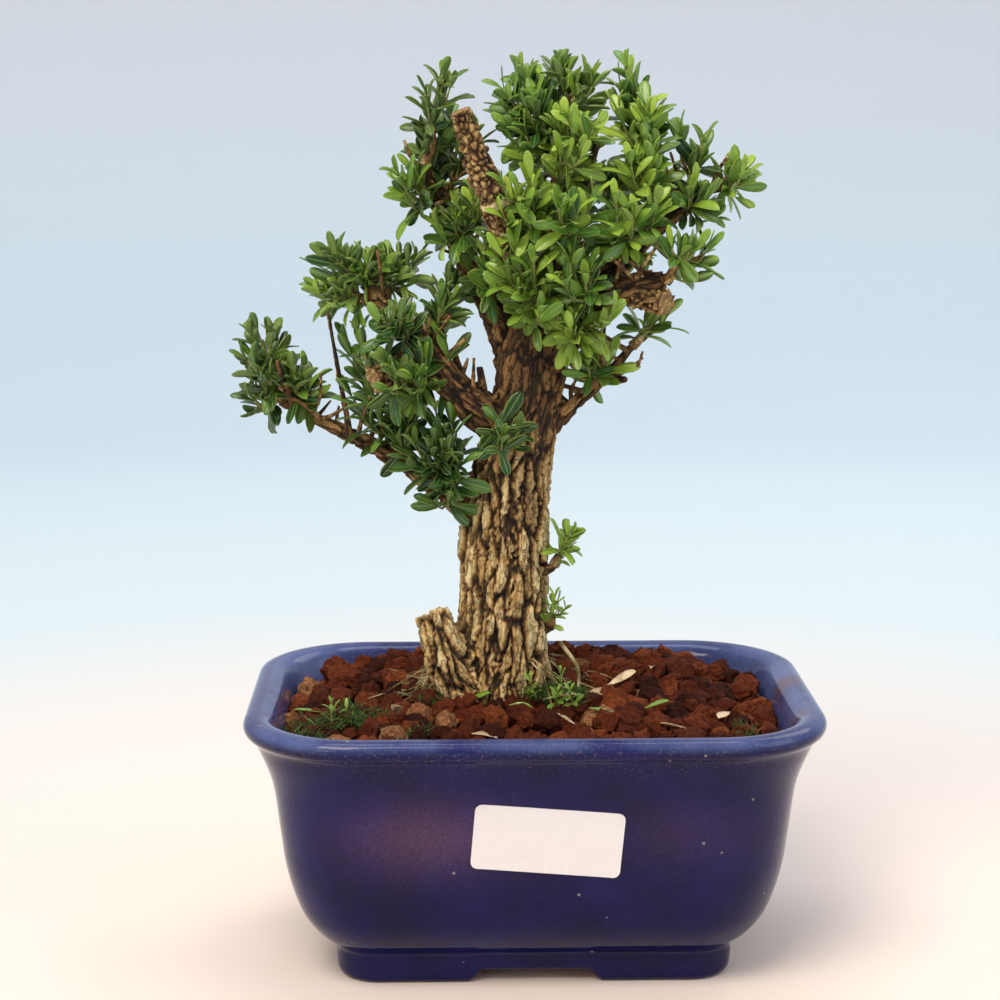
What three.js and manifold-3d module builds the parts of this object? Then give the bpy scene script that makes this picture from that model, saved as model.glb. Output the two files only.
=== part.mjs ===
// A Harland boxwood bonsai, Buxus harlandii, growing in its glazed pot.
// Millimetres: X to the right, Y away from the viewer, Z up. The pot stands on z = 0.

import * as THREE from 'three';
import { mergeVertices } from 'three/addons/utils/BufferGeometryUtils.js';
import Module from 'manifold-3d';

const wasm = await Module();
wasm.setup();

const FIT = 0.3; // gap between pieces that touch
const SEED = 20;

// Pot: an oblong bowl with rounded corners, measured as half sizes at the lip
const POT_HALF_LENGTH = 91;
const POT_HALF_DEPTH = 66;
const POT_CORNER = 36; // radius of the corners at the lip
const CORNER_TAPER = 0.8; // how much that radius shrinks for each millimetre the wall goes in
const CORNER_STEPS = 4;
const POT_FLOOR = 13; // top of the pot's floor
// Outside and inside from the foot up: [height, half length]
const POT_OUTSIDE = [
  [0, 61.5], [1.2, 62.6], [7.5, 63.2], [8.5, 62.8], [10.5, 63.8], [14.7, 68.7], [20.7, 73.1],
  [28, 76.1], [37.9, 78.7], [48.4, 80.1], [65, 82.4], [74, 85.6], [79.5, 88.2], [81, 90.3],
  [83.5, 91], [85.5, 90], [86.5, 87.5],
];
const POT_INSIDE = [
  [POT_FLOOR, 58], [20, 67], [40, 73.7], [78, 79.5], [84, 82], [86, 84.5], [88, 87.5],
];
const FOOT_WALL = 9; // width of the foot ring
const FOOT_RECESS = 7; // height of the hollow inside the foot ring
const ARCH_HEIGHT = 4; // gap between two feet
const ARCH_FLARE = 3.5; // how much wider each end of a gap is at the bottom
const FRONT_ARCH = 17; // half width of the gap at the front and back, at its top
const END_ARCH = 11; // and at the two ends
const DRAIN_RADIUS = 6;
const DRAIN_X = 30;

// Plastic screens over the two drain holes
const SCREEN_SIZE = 22;
const SCREEN_THICKNESS = 1;
const SCREEN_BAR = 1.6;
const SCREEN_CELLS = 2;

// Blank paper label on the front
const LABEL_WIDTH = 45.7;
const LABEL_HEIGHT = 21.2;
const LABEL_THICKNESS = 0.4;
const LABEL_CORNER = 1.2;
const LABEL_X = 2.9;
const LABEL_Z = 52.8;
const LABEL_TURN = THREE.MathUtils.degToRad(-4.7);

// Soil: [share of the pot's inside, height], from the edge to the middle of the mound
const SOIL_MOUND = [[1, 77.5], [0.86, 79], [0.62, 81.5], [0.36, 84.5], [0.16, 86.5]];
const SOIL_TOP = 87;
const SOIL_BACK_RISE = 0.12; // behind the trunk the mound climbs this much per millimetre
const GRANULE_PITCH = 12.8;
const GRANULE_JITTER = 2.1;
const GRANULE_HEIGHT = 4.2;
const GRANULE_UNEVEN = 1.6; // how much higher or lower a granule may stand
const GRANULE_LEAN = 0.4; // steepest slope of its top
const GRANULE_TOP = 0.5; // size of its broken top against its foot

// Trunk: [x, y, height, half width, half depth]
const TRUNK = [
  [-10, 0, 56, 13, 12],
  [-11, 0, 78, 16, 14.5],
  [-11.5, 0, 87, 17, 15.4],
  [-10.6, 0, 97, 15.6, 14.2],
  [-9.8, 0, 115, 14.6, 13.4],
  [-9.2, 0, 136, 14.4, 13.2],
  [-7, 0, 158, 12.6, 11.8],
  [-2.4, 0, 178, 10.4, 10],
  [2, 0, 195, 9.6, 9],
  [5, 1, 208, 6.5, 6],
];
const TRUNK_SIDES = 18;
const TRUNK_TWIST = 0.12; // the plates wander to each side by this angle
const TRUNK_WAVE = 19; // over this height, divided by 2 pi
const TRUNK_STEP = 10; // height of one row of bark plates
const BARK_DEPTH = 1.1; // plates stand out and fissures go in by this much
const BARK_ROUGH = 0.6;
const BARK_START = 86;
const TRUNK_CLEAR = 0.4; // room round the trunk in the soil

// Limbs: the route of each by hand, its radius at the start and the end, and the sprays on it,
// each given by the tips of its two or three leafy shoots
const LIMBS = {
  crown_left: {
    route: [[-1, 2, 187], [-8, 6, 204], [-17, 8, 221], [-27, 6, 239], [-34, 2, 253]],
    radius: [5, 2],
    sprays: [
      [[-42, -6, 268], [-46, -10, 245]],
      [[-32, 8, 276], [-33, 20, 256]],
      [[-28, -4, 285], [-38, 4, 281]],
      [[-17, 10, 270], [-21, 16, 256]],
      [[-17, -14, 250], [-28, -10, 240]],
      [[-20, -6, 230], [-11, -18, 238]],
    ],
  },
  leader: {
    route: [[3, 0, 198], [7, 2, 217], [9, 4, 232], [10, 2, 250], [9, 0, 268]],
    radius: [7, 2.2],
    sprays: [
      [[-8, -2, 288], [-15, -10, 275]],
      [[7, 0, 289], [-1, 12, 283]],
      [[20, 5, 287], [14, -12, 281]],
      [[-3, -18, 280], [-9, -18, 265]],
      [[6, -34, 261], [15, -30, 259]],
      [[19, -26, 268], [8, -24, 273]],
      [[6, -40, 248], [20, -38, 250]],
      [[-11, -32, 248], [-3, -36, 256]],
      [[-6, -33, 220], [-1, -26, 211]],
    ],
  },
  crown_right: {
    route: [[6, -2, 199], [15, -4, 210], [28, -2, 224], [42, 0, 237], [56, 0, 247]],
    radius: [5.5, 1.8],
    sprays: [
      [[30, 0, 288], [39, 6, 284]],
      [[33, -14, 277], [22, -14, 278]],
      [[35, -22, 265], [26, -28, 260]],
      [[44, -2, 275], [56, 4, 268]],
      [[65, -6, 256], [74, 4, 246]],
      [[50, -18, 252], [63, -4, 234]],
      [[40, -28, 248], [30, -37, 243], [22, -38, 248]],
    ],
  },
  corky_right: {
    route: [[5, -4, 194], [14, -10, 206], [26, -16, 216], [40, -19, 219]],
    radius: [6, 3.8],
    sprays: [
      [[14, -36, 222], [7, -34, 232]],
      [[23, -28, 206], [11, -32, 210]],
      [[56, -12, 229], [38, -30, 235]],
    ],
  },
  left_main: {
    route: [[-5, -2, 166], [-18, -7, 179], [-29, -10, 190], [-37, -10, 201], [-43, -8, 208], [-48, -6, 213]],
    radius: [7.5, 3],
    sprays: [
      [[-66, -8, 233], [-72, 2, 229]],
      [[-59, 7, 229], [-53, -12, 231]],
      [[-36, 6, 229], [-47, 4, 232]],
      [[-25, 10, 223], [-25, -8, 218]],
      [[-71, 0, 217], [-61, -10, 216]],
      [[-44, -28, 213], [-53, -26, 209]],
      [[-47, -30, 194], [-40, -30, 187]],
      [[-27, -14, 209], [-19, -18, 197]],
      [[-12, -30, 177], [-4, -26, 171]],
    ],
  },
  left_low: {
    route: [[-14, 2, 137], [-33, 2, 152], [-47, 4, 161], [-61, 5, 169], [-71, 4, 174], [-79, 3, 179]],
    radius: [5, 1.6],
    sprays: [
      [[-90, 0, 210], [-82, 8, 207]],
      [[-92, -4, 199], [-85, -9, 193]],
      [[-93, 0, 180], [-84, 10, 184]],
      [[-75, -8, 195], [-72, 6, 197]],
      [[-46, 8, 181], [-40, -12, 166]],
      [[-32, -20, 175], [-21, -23, 166]],
      [[-36, -14, 147], [-27, -18, 151]],
    ],
  },
  right_thin: {
    route: [[3, 2, 164], [15, 0, 178], [24, -3, 186], [32, -6, 196]],
    radius: [3.6, 1.5],
    sprays: [
      [[38, -13, 213], [49, -2, 212]],
      [[15, -12, 197], [26, -18, 199]],
    ],
  },
  trunk_sprout: {
    route: [[-1, -4, 124], [6, -5, 127], [8, -6, 129]],
    radius: [2, 1.2],
    sprays: [
      [[15, -9, 144], [19, -3, 138]],
    ],
  },
  low_sprout: {
    route: [[-1, -4, 104], [6, -4, 107], [7.5, -4, 108]],
    radius: [1.8, 1.1],
    sprays: [
      [[9, -4, 121], [13, -2, 117]],
    ],
  },
  crown_back: {
    route: [[3, 4, 197], [6, 18, 214], [9, 30, 230], [10, 36, 247]],
    radius: [6, 2],
    sprays: [
      [[3, 26, 284], [-10, 28, 271]],
      [[18, 32, 281], [28, 36, 271]],
      [[11, 47, 266], [-4, 45, 255]],
      [[24, 48, 255], [37, 42, 245]],
      [[-16, 34, 252], [-23, 28, 238]],
      [[42, 28, 262], [55, 24, 251]],
      [[6, 46, 232], [22, 44, 230]],
      [[43, 34, 232], [36, 24, 220]],
      [[-17, 28, 226], [-2, 34, 214]],
    ],
  },
};
const LIMB_SIDES = 5;
const LIMB_STEP = 12; // distance between two rings of a limb
const LIMB_PLACES = 24; // places along a limb where a twig may start
const FIRST_PLACE = 4; // the first of them that is clear of what the limb grows from
const LIMB_ROUGH = 0.12; // share of the radius by which the corky bark varies

// Bare wood: cut stubs, bare twigs and the root stub, each [start, end, start radius, end radius]
const STUB_SIDES = 5;
const STUBS = [
  [[-2, -10, 214], [-12, -23, 243], 4.2, 4.6],
  [[-12, -23, 243], [-23, -28, 271], 4.6, 3.4],
  [[-36, -8, 198], [-50, -18, 189], 3.4, 4.4],
  [[-58, 3, 168], [-64, -10, 210], 1.5, 0.9],
  [[-75, 4, 176], [-80, -10, 194], 1.3, 0.9],
  [[-20, -6, 182], [-25, 0, 196], 1.8, 1.1],
  [[-14, -6, 176], [-17, -9, 192], 2, 1.2],
  [[27, -4, 189], [31, -11, 187], 1.6, 1.2],
  [[30, -16, 217], [46, -25, 212], 2.8, 3.6],
  [[13, 3, 240], [19, -20, 262], 2, 1.1],
];
const ROOT_STUB = {
  route: [[-16, -6, 78], [-25, -9, 92], [-30, -9, 103], [-32, -8, 111]],
  radius: [10, 4.4],
  sides: 7,
  steps: 5,
};

// Leafy shoots
const TWIG_RADIUS = 1.3;
const TWIG_STEP = 16;
const TWIG_BELOW = 20; // a twig starts at the place nearest to a point this far below its shoots
const TWIG_SAG = 0.07; // share of its length
const TWIG_WANDER = 0.05;
const FORK_CLEAR = 2.5; // least room between the limb's bark and the fork
const FORK_SHARE = 0.25; // and the least share of the way to the tips
const SHOOT_RADIUS = 1; // of the green shoot
const LEAFY_LENGTH = 28; // from the fork of a spray to the tips of its shoots
const LEAF_LENGTH = 13.5;
const LEAF_WIDTH = 6.2;
const LEAF_THICKNESS = 0.8;
const LEAF_WIDEST = 0.58; // where along it the leaf is widest
const LEAF_RECURVE = 0.1; // share of its length by which the leaf's tip bends back
const LEAF_BLUNT = 0.2; // half width of its tip as a share of its width
// A shoot's stem has rings at these places along it, and leaf pairs between two rings:
// [ring below the pair, opening from the stem in degrees, share of full length]
const MAIN_SHOOT = {
  radius: SHOOT_RADIUS,
  rings: [0, 0.16, 0.33, 0.5, 0.66, 0.83, 1],
  pairs: [[5, 25, 0.9], [4, 42, 1], [3, 52, 1], [2, 60, 1], [1, 68, 0.9]],
};
const SIDE_SHOOT = {
  radius: SHOOT_RADIUS * 0.65,
  rings: [0, 0.5, 0.75, 1],
  pairs: [[2, 28, 0.95], [1, 56, 0.95]],
};
const SHORTEST_STEM = 6;
const FEWEST_LEAVES = 3; // a side shoot with less is left out
const SHOOT_TAPER = 0.25; // share of its radius that a shoot loses to its end
const SHOOT_KNEE = 2; // how far it first goes on along its twig
const SHOOT_BEND = 1.5; // how far its middle still leans that way
const SHOOT_TURN = [0.6, 0.35, 0.1]; // direction that its first leaves look to
const LEAF_PAST_END = 0.7; // share of a leaf that reaches beyond the end of the stem
const OUTER_BLADE = 0.35; // share of the way to its widest place from which a leaf is clear of its stem
const SIDE_START = 0.12; // where a side shoot leaves the main one
const LEAF_TRIES = 12;
const STEM_TRIES = 12;

const COLOURS = {
  glaze: 0x26235c,
  paper: 0xf0eee9,
  plastic: 0x2f3330,
  granules: 0x6a3321,
  bark: 0xb0926a,
  leaf: [0x4a7430, 0x557f33, 0x3f6a2a, 0x6b9238],
};

// Always the same draw from 0 to 1, so that every build grows the same plant
function seededRandom(seed) {
  let state = seed;
  return () => {
    state = (state + 0x6d2b79f5) | 0;
    let t = Math.imul(state ^ (state >>> 15), 1 | state);
    t = (t + Math.imul(t ^ (t >>> 7), 61 | t)) ^ t;
    return ((t ^ (t >>> 14)) >>> 0) / 4294967296;
  };
}

const random = seededRandom(SEED);
const vary = (amount) => (random() * 2 - 1) * amount;
const vector = ([x, y, z]) => new THREE.Vector3(x, y, z);

// A closed body through rings of points, each ring counterclockwise seen from the end.
// A ring of one point closes to a tip.
function loft(rings) {
  const positions = [];
  const starts = [];
  const index = [];
  for (const ring of rings) {
    starts.push(positions.length / 3);
    ring.forEach((point) => positions.push(point.x, point.y, point.z));
  }
  for (let i = 0; i + 1 < rings.length; i += 1) {
    const below = rings[i].length;
    const above = rings[i + 1].length;
    for (let j = 0; j < Math.max(below, above); j += 1) {
      const a = starts[i] + (j % below);
      const b = starts[i] + ((j + 1) % below);
      const c = starts[i + 1] + ((j + 1) % above);
      const d = starts[i + 1] + (j % above);
      if (a !== b) index.push(a, b, c);
      if (c !== d) index.push(a, c, d);
    }
  }
  const last = rings.length - 1;
  for (let j = 1; j + 1 < rings[0].length; j += 1) index.push(0, j + 1, j);
  for (let j = 1; j + 1 < rings[last].length; j += 1) {
    index.push(starts[last], starts[last] + j, starts[last] + j + 1);
  }
  const geometry = new THREE.BufferGeometry();
  geometry.setAttribute('position', new THREE.Float32BufferAttribute(positions, 3));
  geometry.setIndex(index);
  return geometry;
}

function solidFrom(geometry) {
  const bare = geometry.clone();
  bare.deleteAttribute('normal');
  bare.deleteAttribute('uv');
  const merged = mergeVertices(bare);
  const mesh = new wasm.Mesh({
    numProp: 3,
    vertProperties: Float32Array.from(merged.attributes.position.array),
    triVerts: Uint32Array.from(merged.index.array),
  });
  return new wasm.Manifold(mesh);
}

function geometryFrom(solid) {
  const mesh = solid.getMesh();
  const geometry = new THREE.BufferGeometry();
  geometry.setAttribute('position', new THREE.Float32BufferAttribute(mesh.vertProperties, 3));
  geometry.setIndex(new THREE.Uint32BufferAttribute(mesh.triVerts, 1));
  geometry.computeVertexNormals();
  return geometry;
}

// Cutting can leave loose scraps, and only the main body is kept
function mainBody(solid) {
  const bodies = solidFrom(geometryFrom(solid)).decompose();
  return bodies.reduce((best, body) => (body.volume() > best.volume() ? body : best));
}

function roundedRectangle(halfX, halfY, radius, steps, z) {
  const ring = [];
  for (let corner = 0; corner < 4; corner += 1) {
    const signX = corner === 0 || corner === 3 ? 1 : -1;
    const signY = corner < 2 ? 1 : -1;
    for (let i = 0; i <= steps; i += 1) {
      const angle = ((corner + i / steps) * Math.PI) / 2;
      const x = signX * (halfX - radius) + radius * Math.cos(angle);
      const y = signY * (halfY - radius) + radius * Math.sin(angle);
      ring.push(new THREE.Vector3(x, y, z));
    }
  }
  return ring;
}

// A level cut through the pot where its half length is the one given
function potRing(halfLength, z, grow = 0) {
  const inset = POT_HALF_LENGTH - halfLength;
  const halfDepth = POT_HALF_DEPTH - inset;
  const corner = POT_CORNER - CORNER_TAPER * inset;
  return roundedRectangle(halfLength + grow, halfDepth + grow, corner + grow, CORNER_STEPS, z);
}

function potLoft(profile, grow = 0) {
  return solidFrom(loft(profile.map(([z, halfLength]) => potRing(halfLength, z, grow))));
}

// How far the profile is from the middle at a height
function profileAt(profile, z) {
  const next = Math.max(1, profile.findIndex((point) => point[0] >= z));
  const [z0, a0] = profile[next - 1];
  const [z1, a1] = profile[next];
  return a0 + ((a1 - a0) * (z - z0)) / (z1 - z0);
}

function footArch(halfWidth, turn) {
  const bottom = halfWidth + ARCH_FLARE;
  const outline = new THREE.Shape();
  outline.moveTo(-bottom, -1);
  outline.lineTo(bottom, -1);
  outline.lineTo(bottom, 0);
  outline.lineTo(halfWidth, ARCH_HEIGHT);
  outline.lineTo(-halfWidth, ARCH_HEIGHT);
  outline.lineTo(-bottom, 0);
  const depth = 2 * POT_HALF_LENGTH;
  const arch = new THREE.ExtrudeGeometry(outline, { depth, bevelEnabled: false });
  arch.translate(0, 0, -depth / 2);
  arch.rotateX(Math.PI / 2);
  arch.rotateZ(turn);
  return solidFrom(arch);
}

function upright(radius, bottom, top, sides = 16) {
  const cylinder = new THREE.CylinderGeometry(radius, radius, top - bottom, sides);
  cylinder.rotateX(Math.PI / 2);
  cylinder.translate(0, 0, (top + bottom) / 2);
  return cylinder;
}

function makePot() {
  const underside = solidFrom(loft([
    potRing(POT_OUTSIDE[1][1] - FOOT_WALL, -1),
    potRing(POT_OUTSIDE[1][1] - FOOT_WALL - 1, FOOT_RECESS),
  ]));
  let pot = potLoft(POT_OUTSIDE).subtract(potLoft(POT_INSIDE)).subtract(underside);
  pot = pot.subtract(footArch(FRONT_ARCH, 0)).subtract(footArch(END_ARCH, Math.PI / 2));
  for (const side of [-1, 1]) {
    const hole = upright(DRAIN_RADIUS, 0, POT_FLOOR + 2);
    hole.translate(side * DRAIN_X, 0, 0);
    pot = pot.subtract(solidFrom(hole));
  }
  return pot;
}

// The label lies on the front of the pot, so it is a slice of a slightly larger pot
function makeLabel() {
  const ring = roundedRectangle(LABEL_WIDTH / 2, LABEL_HEIGHT / 2, LABEL_CORNER, 2, 0);
  const outline = new THREE.Shape(ring.map((point) => new THREE.Vector2(point.x, point.y)));
  const stamp = new THREE.ExtrudeGeometry(outline, { depth: POT_HALF_DEPTH + 10, bevelEnabled: false });
  stamp.rotateZ(LABEL_TURN);
  stamp.rotateX(Math.PI / 2);
  stamp.translate(LABEL_X, 0, LABEL_Z);
  const outer = potLoft(POT_OUTSIDE, FIT + LABEL_THICKNESS);
  return outer.subtract(potLoft(POT_OUTSIDE, FIT)).intersect(solidFrom(stamp));
}

function makeScreen(x) {
  const middle = POT_FLOOR + FIT + SCREEN_THICKNESS / 2;
  const plate = new THREE.BoxGeometry(SCREEN_SIZE, SCREEN_SIZE, SCREEN_THICKNESS);
  plate.translate(x, 0, middle);
  const pitch = (SCREEN_SIZE - SCREEN_BAR) / SCREEN_CELLS;
  const cells = [];
  for (let i = 0; i < SCREEN_CELLS; i += 1) {
    for (let j = 0; j < SCREEN_CELLS; j += 1) {
      const cell = new THREE.BoxGeometry(pitch - SCREEN_BAR, pitch - SCREEN_BAR, 3 * SCREEN_THICKNESS);
      const middleCell = (SCREEN_CELLS - 1) / 2;
      cell.translate(x + (i - middleCell) * pitch, (j - middleCell) * pitch, middle);
      cells.push(solidFrom(cell));
    }
  }
  return solidFrom(plate).subtract(wasm.Manifold.union(cells));
}

// The soil's surface: highest at the middle, where the trunk stands, and heaped up behind it
function soilHeight(share) {
  const rows = [...SOIL_MOUND, [0, SOIL_TOP]];
  const next = Math.max(1, rows.findIndex((row) => row[0] <= share));
  const [s0, z0] = rows[next - 1];
  const [s1, z1] = rows[next];
  return z0 + ((z1 - z0) * (s0 - share)) / (s0 - s1);
}

// The soil's surface is a field of granules: four-sided lumps with broken flat tops, whose feet
// meet in deep gaps. Walls and a flat bottom close it.
function soilPoint(x, y, rise) {
  const edge = profileAt(POT_INSIDE, SOIL_MOUND[0][1]);
  const edgeDepth = POT_HALF_DEPTH - POT_HALF_LENGTH + edge;
  const share = Math.min(1, Math.hypot((x / edge) ** 2, (y / edgeDepth) ** 2) ** 0.5);
  const heap = SOIL_BACK_RISE * Math.max(0, y) * (1 - share ** 4);
  return new THREE.Vector3(x, y, soilHeight(share) + heap + rise);
}

function makeGranules(bottom) {
  const columns = 2 * Math.ceil(POT_HALF_LENGTH / GRANULE_PITCH);
  const rows = 2 * Math.ceil(POT_HALF_DEPTH / GRANULE_PITCH);
  const positions = [];
  const index = [];
  const add = (point) => positions.push(...point.toArray()) / 3 - 1;
  const onEdge = (column, row) => column % columns === 0 || row % rows === 0;
  const feet = [];
  const under = [];
  for (let row = 0; row <= rows; row += 1) {
    for (let column = 0; column <= columns; column += 1) {
      const loose = onEdge(column, row) ? 0 : GRANULE_JITTER;
      const stagger = column % columns === 0 ? 0 : (row % 2) * 0.5;
      const x = (column - columns / 2 + stagger) * GRANULE_PITCH + vary(loose);
      const y = (row - rows / 2) * GRANULE_PITCH + vary(loose);
      feet.push(add(soilPoint(x, y, -GRANULE_HEIGHT / 2 + vary(1))));
      if (onEdge(column, row)) under[feet.length - 1] = add(new THREE.Vector3(x, y, bottom));
    }
  }
  const pointAt = (i) => new THREE.Vector3().fromArray(positions, 3 * i);
  const centre = add(new THREE.Vector3(0, 0, bottom));
  for (let row = 0; row < rows; row += 1) {
    for (let column = 0; column < columns; column += 1) {
      const first = row * (columns + 1) + column;
      const corners = [first, first + 1, first + columns + 2, first + columns + 1];
      const middle = new THREE.Vector3();
      corners.forEach((corner) => middle.addScaledVector(pointAt(feet[corner]), 0.25));
      const size = GRANULE_TOP * (1 + vary(0.15));
      const lean = [vary(GRANULE_LEAN), vary(GRANULE_LEAN), GRANULE_HEIGHT / 2 + vary(GRANULE_UNEVEN)];
      const top = corners.map((corner) => {
        const out = pointAt(feet[corner]).sub(middle).multiplyScalar(size);
        const rise = lean[2] + lean[0] * out.x + lean[1] * out.y + vary(0.4);
        return add(soilPoint(middle.x + out.x, middle.y + out.y, rise));
      });
      corners.forEach((corner, i) => {
        const next = (i + 1) % 4;
        const a = feet[corner];
        const b = feet[corners[next]];
        index.push(a, b, top[next], a, top[next], top[i]);
        const belowA = under[corner];
        const belowB = under[corners[next]];
        const outer = [row === 0, column === columns - 1, row === rows - 1, column === 0][i];
        if (outer) index.push(b, a, belowA, b, belowA, belowB, belowB, belowA, centre);
      });
      index.push(top[0], top[1], top[2], top[0], top[2], top[3]);
    }
  }
  const geometry = new THREE.BufferGeometry();
  geometry.setAttribute('position', new THREE.Float32BufferAttribute(positions, 3));
  geometry.setIndex(index);
  return solidFrom(geometry);
}

function makeSoil(trunkHole) {
  const bottom = POT_FLOOR + FIT + SCREEN_THICKNESS + FIT;
  const cavity = potLoft(POT_INSIDE, -FIT);
  return mainBody(makeGranules(bottom).intersect(cavity).subtract(trunkHole));
}

// The trunk's bark is made of upright plates with fissures between them
function makeTrunk(grow = 0) {
  const rough = seededRandom(SEED + 1);
  const first = TRUNK[0][2];
  const last = TRUNK[TRUNK.length - 1][2];
  const steps = Math.round((last - first) / TRUNK_STEP);
  const rings = [];
  for (let i = 0; i <= steps; i += 1) {
    const z = first + ((last - first) * i) / steps;
    const next = Math.max(1, TRUNK.findIndex((section) => section[2] >= z));
    const below = TRUNK[next - 1];
    const above = TRUNK[next];
    const share = (z - below[2]) / (above[2] - below[2]);
    const [x, y, , halfWidth, halfDepth] = below.map((value, k) => value + (above[k] - value) * share);
    const ring = [];
    for (let j = 0; j < TRUNK_SIDES; j += 1) {
      const angle = (j / TRUNK_SIDES) * 2 * Math.PI + TRUNK_TWIST * Math.sin(z / TRUNK_WAVE);
      const plate = (j % 2 ? -BARK_DEPTH : BARK_DEPTH) + (rough() * 2 - 1) * BARK_ROUGH;
      const bark = z > BARK_START ? plate : 0;
      const reachX = halfWidth + bark + grow;
      const reachY = halfDepth + bark + grow;
      ring.push(new THREE.Vector3(x + reachX * Math.cos(angle), y + reachY * Math.sin(angle), z));
    }
    rings.push(ring);
  }
  return solidFrom(loft(rings));
}

// A tapering stem along a curve, with a bark as rough as asked
function makeStem(points, radius, sides, steps, roughness = 0, grow = 0) {
  const curve = new THREE.CatmullRomCurve3(points, false, 'catmullrom');
  const frames = curve.computeFrenetFrames(steps, false);
  const rings = [];
  for (let i = 0; i <= steps; i += 1) {
    const centre = curve.getPointAt(i / steps);
    const here = radius[0] + ((radius[1] - radius[0]) * i) / steps;
    const ring = [];
    for (let j = 0; j < sides; j += 1) {
      const angle = (j / sides) * 2 * Math.PI;
      const reach = here * (1 + vary(roughness)) + grow;
      ring.push(centre.clone()
        .addScaledVector(frames.normals[i], reach * Math.cos(angle))
        .addScaledVector(frames.binormals[i], reach * Math.sin(angle)));
    }
    rings.push(ring);
  }
  return solidFrom(loft(rings));
}

function makeRootStub(grow = 0) {
  const { route, radius, sides, steps } = ROOT_STUB;
  const room = grow ? grow + radius[0] * LIMB_ROUGH : 0;
  return makeStem(route.map(vector), radius, sides, steps, grow ? 0 : LIMB_ROUGH, room);
}

function limbCurve(limb) {
  return new THREE.CatmullRomCurve3(limb.route.map(vector), false, 'catmullrom');
}

function makeLimb(limb) {
  const steps = Math.max(2, Math.round(limbCurve(limb).getLength() / LIMB_STEP));
  return makeStem(limb.route.map(vector), limb.radius, LIMB_SIDES, steps, LIMB_ROUGH);
}

// A spray's twig starts on the limb at the place nearest to a point well below its shoots,
// and forks at the leafy length from their tips
function planSpray(limb, tips) {
  const middle = tips.reduce((sum, tip) => sum.add(tip), new THREE.Vector3()).divideScalar(tips.length);
  const below = middle.clone().add(new THREE.Vector3(0, 0, -TWIG_BELOW));
  const places = limbCurve(limb).getSpacedPoints(LIMB_PLACES);
  const nearest = places.slice(FIRST_PLACE).reduce((best, place) => (
    place.distanceTo(below) < best.distanceTo(below) ? place : best
  ));
  const share = places.indexOf(nearest) / LIMB_PLACES;
  const limbRadius = limb.radius[0] + (limb.radius[1] - limb.radius[0]) * share;
  const reach = nearest.distanceTo(middle);
  const forkAt = Math.max(reach - LEAFY_LENGTH, limbRadius + FORK_CLEAR, reach * FORK_SHARE);
  const fork = nearest.clone().lerp(middle, forkAt / reach);
  const sag = new THREE.Vector3(vary(TWIG_WANDER), vary(TWIG_WANDER), -TWIG_SAG).multiplyScalar(forkAt);
  const twig = new THREE.CatmullRomCurve3(
    [nearest, nearest.clone().lerp(fork, 0.5).add(sag), fork],
    false,
    'catmullrom',
  );
  return { twig, fork };
}

function makeTwig({ twig }) {
  const steps = Math.max(1, Math.round(twig.getLength() / TWIG_STEP));
  return makeStem(twig.points, [TWIG_RADIUS * 1.4, TWIG_RADIUS], 3, steps, LIMB_ROUGH);
}

// The stem of a green shoot. The main one starts a little beyond the end of the twig, a side
// shoot in the lower stem of the main one, and both end short of the tips, where the last
// leaves reach.
function planShoot({ twig, fork, main }, tip, wander) {
  const out = twig.getTangentAt(1);
  const base = main ? main.curve.getPointAt(SIDE_START) : fork.clone().addScaledVector(out, FIT);
  const goal = tip.clone().add(new THREE.Vector3(vary(wander), vary(wander), vary(wander)));
  const length = Math.max(SHORTEST_STEM, goal.distanceTo(base) - LEAF_LENGTH * LEAF_PAST_END);
  const end = base.clone().addScaledVector(goal.sub(base).normalize(), length);
  const half = base.clone().lerp(end, 0.5);
  if (main) return new THREE.CatmullRomCurve3([base, half, end], false, 'catmullrom');
  const knee = base.clone().addScaledVector(out, SHOOT_KNEE);
  half.addScaledVector(out, SHOOT_BEND);
  return new THREE.CatmullRomCurve3([base, knee, half, end], false, 'catmullrom');
}

// Where the rings of a shoot's stem lie: centre, direction and the four corners of each
function shootRings(curve, kind, grow = 0) {
  const across = vector(SHOOT_TURN);
  return kind.rings.map((place) => {
    const centre = curve.getPointAt(place);
    const stem = curve.getTangentAt(place);
    across.addScaledVector(stem, -across.dot(stem)).normalize();
    const radius = kind.radius * (1 - SHOOT_TAPER * place) + grow;
    const corners = [0, 1, 2, 3].map((k) => centre.clone().addScaledVector(
      across.clone().applyAxisAngle(stem, (k * Math.PI) / 2),
      radius,
    ));
    return { centre, stem, corners };
  });
}

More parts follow.
